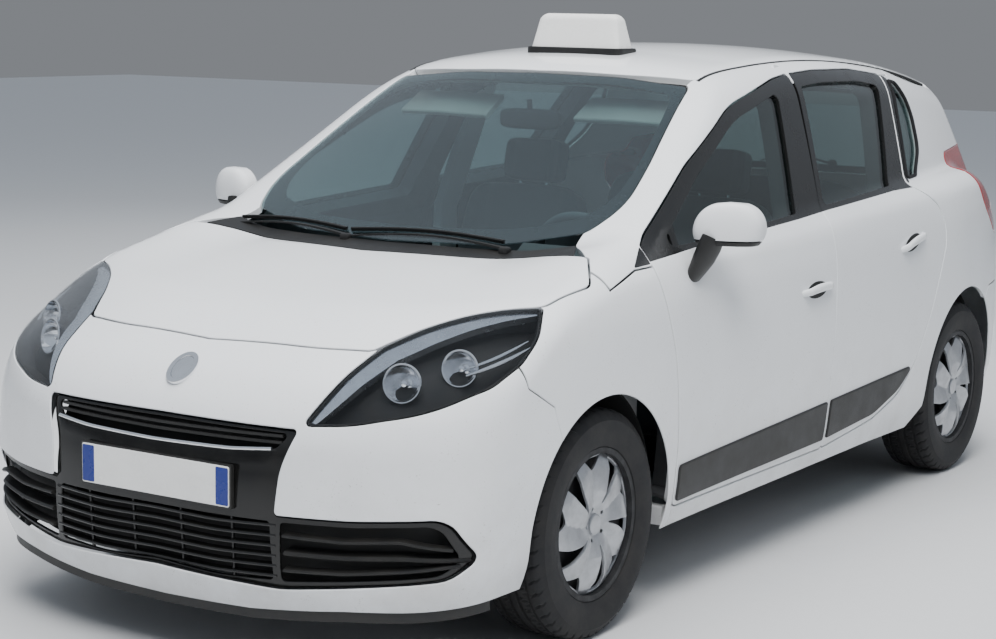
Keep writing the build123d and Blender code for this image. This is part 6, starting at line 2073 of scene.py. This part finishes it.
@dataclass(frozen=True)
class Wheel:
    """Tyre with tread, steel wheel, brake disc and a silver cover of five double spokes."""

    face: float = 98.0

    def tyre(self) -> Shape:
        """Turned tyre, its tread cut by four grooves round and by slanting grooves across its shoulders."""
        bead = 217.0
        rows = [
            (83, bead - 1), (91, bead + 2), (98, bead + 22), (102.5, bead + 50), (101, bead + 76),
            (96, 300), (90, 313), (82, 320.5)
        ]
        tread = [
            (74, 323.2), (63, 324.6), (57, 324.9), (55.5, 318.2), (47, 318.2), (45.5, 325.2), (30, 325.8),
            (20, 325.9), (18.5, 318.4), (10, 318.4), (8.5, 326)
        ]
        half = rows + tread
        profile = np.array(half + [(-x, r) for x, r in reversed(half)], float)
        count = 288
        a = np.linspace(0, 2 * math.pi, count, endpoint=False)
        x, r = profile[:, 0], profile[:, 1]
        groove = (
            np.floor((a[:, None] * count / 2 / math.pi + np.abs(x) * 0.06) % 6) < 1
        ) & (np.abs(x) > 57)
        groove |= (
            np.floor((a[:, None] * count / 2 / math.pi - x * 0.09 + 3) % 6) < 1
        ) & (np.abs(x) < 46) & (np.abs(x) > 19)
        depth = np.where(groove & (r > 312), 5.5, 0.0)
        radius = r - depth
        points = np.stack([x + 0 * radius, radius * np.cos(a)[:, None], radius * np.sin(a)[:, None]], -1)
        return outwards(surface(a, profile, points, wrap_u=True, wrap_v=True))

    def steel(self) -> Shape:
        """Rim barrel and wheel disc behind the cover."""
        barrel = lathe(
            [
                (-88, 200), (-88, 216), (-80, 216.5), (-74, 207), (0, 196), (70, 207), (80, 216.5),
                (88, 216), (88, 200), (70, 200), (0, 190), (-74, 200)
            ],
            96
        )
        disc = lathe([(40, 30.5), (40, 204), (50, 204), (56, 150), (52, 92), (64, 70), (64, 30.5)], 96)
        hub = lathe([(-10, 30.5), (-10, 62), (42, 72), (42, 30.5)], 48)
        return barrel.plus(disc, hub)

    def cover(self) -> Shape:
        """Silver cover: a dished sheet with a widening slot between spokes and a notch in each one's end."""
        step = 2 * math.pi / SPOKES
        cuts = []
        for k in range(SPOKES):
            for start, base, spread, side in ((62.0, 0.030, 0.105, 0.0), (158.0, 0.008, 0.165, 0.5)):
                t = np.linspace(0, 1, 24)
                r = start + (SLOT_END - start) * t
                middle = (k + side) * step + swirl(r)
                half = step * (base + spread * t ** 0.8)
                lead = np.stack([r * np.cos(middle - half), r * np.sin(middle - half)], 1)
                trail = np.stack([r * np.cos(middle + half), r * np.sin(middle + half)], 1)[::-1]
                cuts.append(spaced(np.concatenate([lead, trail]), 6.0))
            ring = np.linspace(0, 2 * math.pi, 12, endpoint=False)
            spot = (k + 0.5) * step
            cuts.append(
                np.stack(
                    [46 * math.cos(spot) + 5 * np.cos(ring), 46 * math.sin(spot) + 5 * np.sin(ring)], 1
                )
            )
        view = Dish(self.face)
        a = np.linspace(0, 2 * math.pi, 144, endpoint=False)
        outer = view.lift(COVER_EDGE * np.stack([np.cos(a), np.sin(a)], 1))
        sheet = Panel(
            view, outer, tuple(view.lift(cut) for cut in cuts), wall=9.0, roll=2.4, spacing=7.5
        ).shape()
        cap = lathe(
            [
                (self.face - 24, 0.01), (self.face - 24, 30), (self.face - 13, 29), (self.face - 11, 25),
                (self.face - 10.5, 0.01)
            ],
            48
        )
        return sheet.plus(Shape(cap.points, cap.triangles, face_normals(cap)))

    def build(self) -> None:
        """Put the four wheels down."""
        tyre, steel, cover = self.tyre(), self.steel(), self.cover()
        brake = lathe([(4, 62), (4, 138), (26, 138), (26, 62)], 72)
        for axle, y in (("front", FRONT_AXLE), ("rear", REAR_AXLE)):
            for side, sign in (("left", 1), ("right", -1)):
                body = f"{axle}_wheel_{side}"
                node = f"{axle}_{side}"

                def placed(shape: Shape) -> Shape:
                    turned = shape if sign > 0 else shape.mirrored()
                    return turned.moved(sign * TRACK_HALF, y, HUB_Z)

                put(f"tyre_with_tread_{node}", placed(tyre), Look.TYRE, body, (f"tyre_{node}",), 28.0)
                put(f"steel_rim_{node}", placed(steel), Look.UNDER, body, (f"wheel_{node}",))
                put(f"wheel_cover_{node}", placed(cover), Look.SILVER, body)
                put(f"brake_disc_{node}", placed(brake), Look.STEEL, body)


def face_normals(shape: Shape) -> np.ndarray:
    """One normal for each corner of each triangle, square to the triangle."""
    a, b, c = np.moveaxis(shape.points[shape.triangles], 1, 0)
    n = np.cross(b - a, c - a)
    n /= np.maximum(np.linalg.norm(n, axis=1, keepdims=True), 1e-9)
    return np.repeat(n[:, None], 3, axis=1)


@dataclass(frozen=True)
class Dish(View):
    """A wheel cover's face, seen along X: it stands at a face level and falls towards its edge."""

    face: float = 98.0
    fall: float = 22.0

    def level(self, flat: np.ndarray) -> np.ndarray:
        """Distance along X at flat coordinates.

        A shallow hollow at the middle and a fall of the fourth power towards the edge. Each spoke is two
        facets that rise from its middle line to the slots beside it.
        """
        r = np.linalg.norm(flat, axis=-1)
        angle = np.arctan2(flat[..., 1], flat[..., 0])
        turn = (angle - swirl(np.clip(r, 0, COVER_EDGE))) * SPOKES / (2 * math.pi)
        beside = 1 - 2 * np.abs(turn - np.round(turn))
        ridge = 17.0 * beside * np.clip((r - 34) / 60, 0, 1) * np.clip((COVER_EDGE - r) / 45, 0, 1)
        return self.face - 10 - 12 * np.exp(-(r / 50) ** 2) - self.fall * (r / COVER_EDGE) ** 4 + ridge

    def flat(self, points: np.ndarray) -> np.ndarray:
        """y and z."""
        return points[..., 1:]

    def lift(self, flat: np.ndarray, inset: float = 0.0, part: Field = Field.BODY) -> np.ndarray:
        """Points of the dish."""
        flat = np.asarray(flat, float)
        return np.insert(flat, 0, 0.0, axis=-1) + np.stack(
            [self.level(flat) - inset, 0 * flat[..., 0], 0 * flat[..., 0]], -1
        )

    def normal(self, points: np.ndarray, part: Field = Field.BODY) -> np.ndarray:
        """Normals from the slope of the level over 1 mm."""
        flat = points[..., 1:]
        dy = self.level(flat + [0.5, 0]) - self.level(flat - [0.5, 0])
        dz = self.level(flat + [0, 0.5]) - self.level(flat - [0, 0.5])
        n = np.stack([1 + 0 * dy, -dy, -dz], -1)
        return n / np.linalg.norm(n, axis=-1, keepdims=True)


@dataclass(frozen=True)
class CadFinishes:
    """Finishes for the CAD pieces that are kept, by the record's material slots."""

    looks: tuple = (
        ("white_paint", Look.WHITE), ("black_trim", Look.DARK), ("black_gloss", Look.GLOSS),
        ("glass", Look.WINDOW), ("lamp", Look.CLEAR), ("red_lamp", Look.RED), ("silver", Look.SILVER),
        ("rubber", Look.TYRE), ("dark_metal", Look.UNDER), ("exhaust_metal", Look.PIPE),
        ("seat_cloth", Look.CLOTH), ("cabin_plastic", Look.CABIN), ("floor_carpet", Look.CARPET),
        ("sign_plastic", Look.SIGN)
    )

    def apply(self, nodes: dict) -> None:
        """Set each node's slots."""
        table = dict(self.looks)
        for name, node in nodes.items():
            for slot in node.material_slots:
                key = slot.material.name.split(".")[0] if slot.material else ""
                look = table.get(key)
                if look is None:
                    LOG.info("%s has the slot %s", name, key)
                    look = Look.DARK
                slot.material = look.material()


@dataclass(frozen=True)
class Camera:
    """The photograph's viewpoint, in millimetres and degrees."""

    at: tuple = (3734.95, -6255.76, 1752.18)
    azimuth: float = 32.81
    fall: float = 8.52
    roll: float = 0.95
    focal: float = 2112.42
    centre: tuple = (503.84, 320.0)
    frame: tuple = (996, 639)
    film: float = 36.0

    def build(self) -> None:
        """Create the camera and make it the scene's."""
        a, e, t = (math.radians(v) for v in (self.azimuth, self.fall, self.roll))
        back = Vector((math.sin(a) * math.cos(e), -math.cos(a) * math.cos(e), math.sin(e)))
        right = Vector((math.cos(a), math.sin(a), 0.0))
        up = back.cross(right)
        turned = math.cos(t) * right + math.sin(t) * up
        upright = -math.sin(t) * right + math.cos(t) * up
        data = bpy.data.cameras.new("photo_camera")
        data.sensor_width = self.film
        data.lens = self.focal * self.film / self.frame[0]
        data.shift_x = (self.frame[0] / 2 - self.centre[0]) / self.frame[0]
        data.shift_y = (self.centre[1] - self.frame[1] / 2) / self.frame[0]
        data.clip_end = 100.0
        camera = bpy.data.objects.new("photo_camera", data)
        matrix = Matrix((turned, upright, back)).transposed().to_4x4()
        matrix.translation = Vector(self.at) * MM
        camera.matrix_world = matrix
        bpy.context.scene.collection.objects.link(camera)
        bpy.context.scene.camera = camera


@dataclass(frozen=True)
class Studio:
    """Pale floor under a soft sky, with large soft lights that show in no reflection."""

    half: float = 30.0

    def build(self) -> None:
        """Put the floor and the lights down."""
        mesh = bpy.data.meshes.new("floor")
        h = self.half
        mesh.from_pydata([(-h, -h, 0), (h, -h, 0), (h, h, 0), (-h, h, 0)], [], [(0, 1, 2, 3)])
        mesh.materials.append(Look.STUDIO.material())
        floor = bpy.data.objects.new("floor", mesh)
        bpy.context.scene.collection.objects.link(floor)
        world = bpy.data.worlds.new("studio")
        world.use_nodes = True
        nodes, links = world.node_tree.nodes, world.node_tree.links
        ground = nodes["Background"]
        place = nodes.new("ShaderNodeTexCoord")
        split = nodes.new("ShaderNodeSeparateXYZ")
        ramp = nodes.new("ShaderNodeValToRGB")
        links.new(place.outputs["Generated"], split.inputs[0])
        links.new(split.outputs["Z"], ramp.inputs[0])
        links.new(ramp.outputs[0], ground.inputs["Color"])
        ramp.color_ramp.elements[0].color = (0.36, 0.38, 0.41, 1)
        ramp.color_ramp.elements[1].color = (0.78, 0.87, 1.0, 1)
        for at, colour in ((0.06, (0.42, 0.45, 0.49, 1)), (0.30, (0.80, 0.87, 0.97, 1))):
            ramp.color_ramp.elements.new(at).color = colour
        ground.inputs["Strength"].default_value = 0.6
        bpy.context.scene.world = world
        for name, at, aim, size, power in (
            ("key", (3.0, -5.0, 8.0), (0, -0.4, 0.8), 4.0, 900.0),
            ("top", (0.0, 0.5, 8.0), (0, 0, 0.5), 7.0, 800.0),
            ("back", (-4.0, 7.5, 5.0), (0, 0.5, 0.8), 5.0, 160.0)
        ):
            data = bpy.data.lights.new(name, "AREA")
            data.size, data.energy = size, power
            light = bpy.data.objects.new(name, data)
            light.visible_glossy = False
            light.location = at
            light.rotation_euler = (Vector(aim) - Vector(at)).to_track_quat("-Z", "Y").to_euler()
            bpy.context.scene.collection.objects.link(light)


def main() -> None:
    """Load the frame, finish and dress it, and put the studio round it."""
    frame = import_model()
    CadFinishes().apply(frame["nodes"])
    doors = (
        Door("front", FRONT_DOOR, FRONT_WINDOW, FRONT_MOULDING, ((-72, 842), (148, 850))),
        Door("rear", REAR_DOOR, REAR_WINDOW, REAR_MOULDING, ((742, 912), (952, 952)))
    )
    for assembly in (
        FrontEnd(), Grille(), Headlamps(), Cell(), *doors, QuarterLight(), Mirror(), RearEnd(), RoofSign(),
        SeatMaker(), SteeringWheel(), Wheel()
    ):
        assembly.build()
        LOG.info("%s is done", type(assembly).__name__)
    Camera().build()
    Studio().build()


if __name__ == "__main__":
    main()
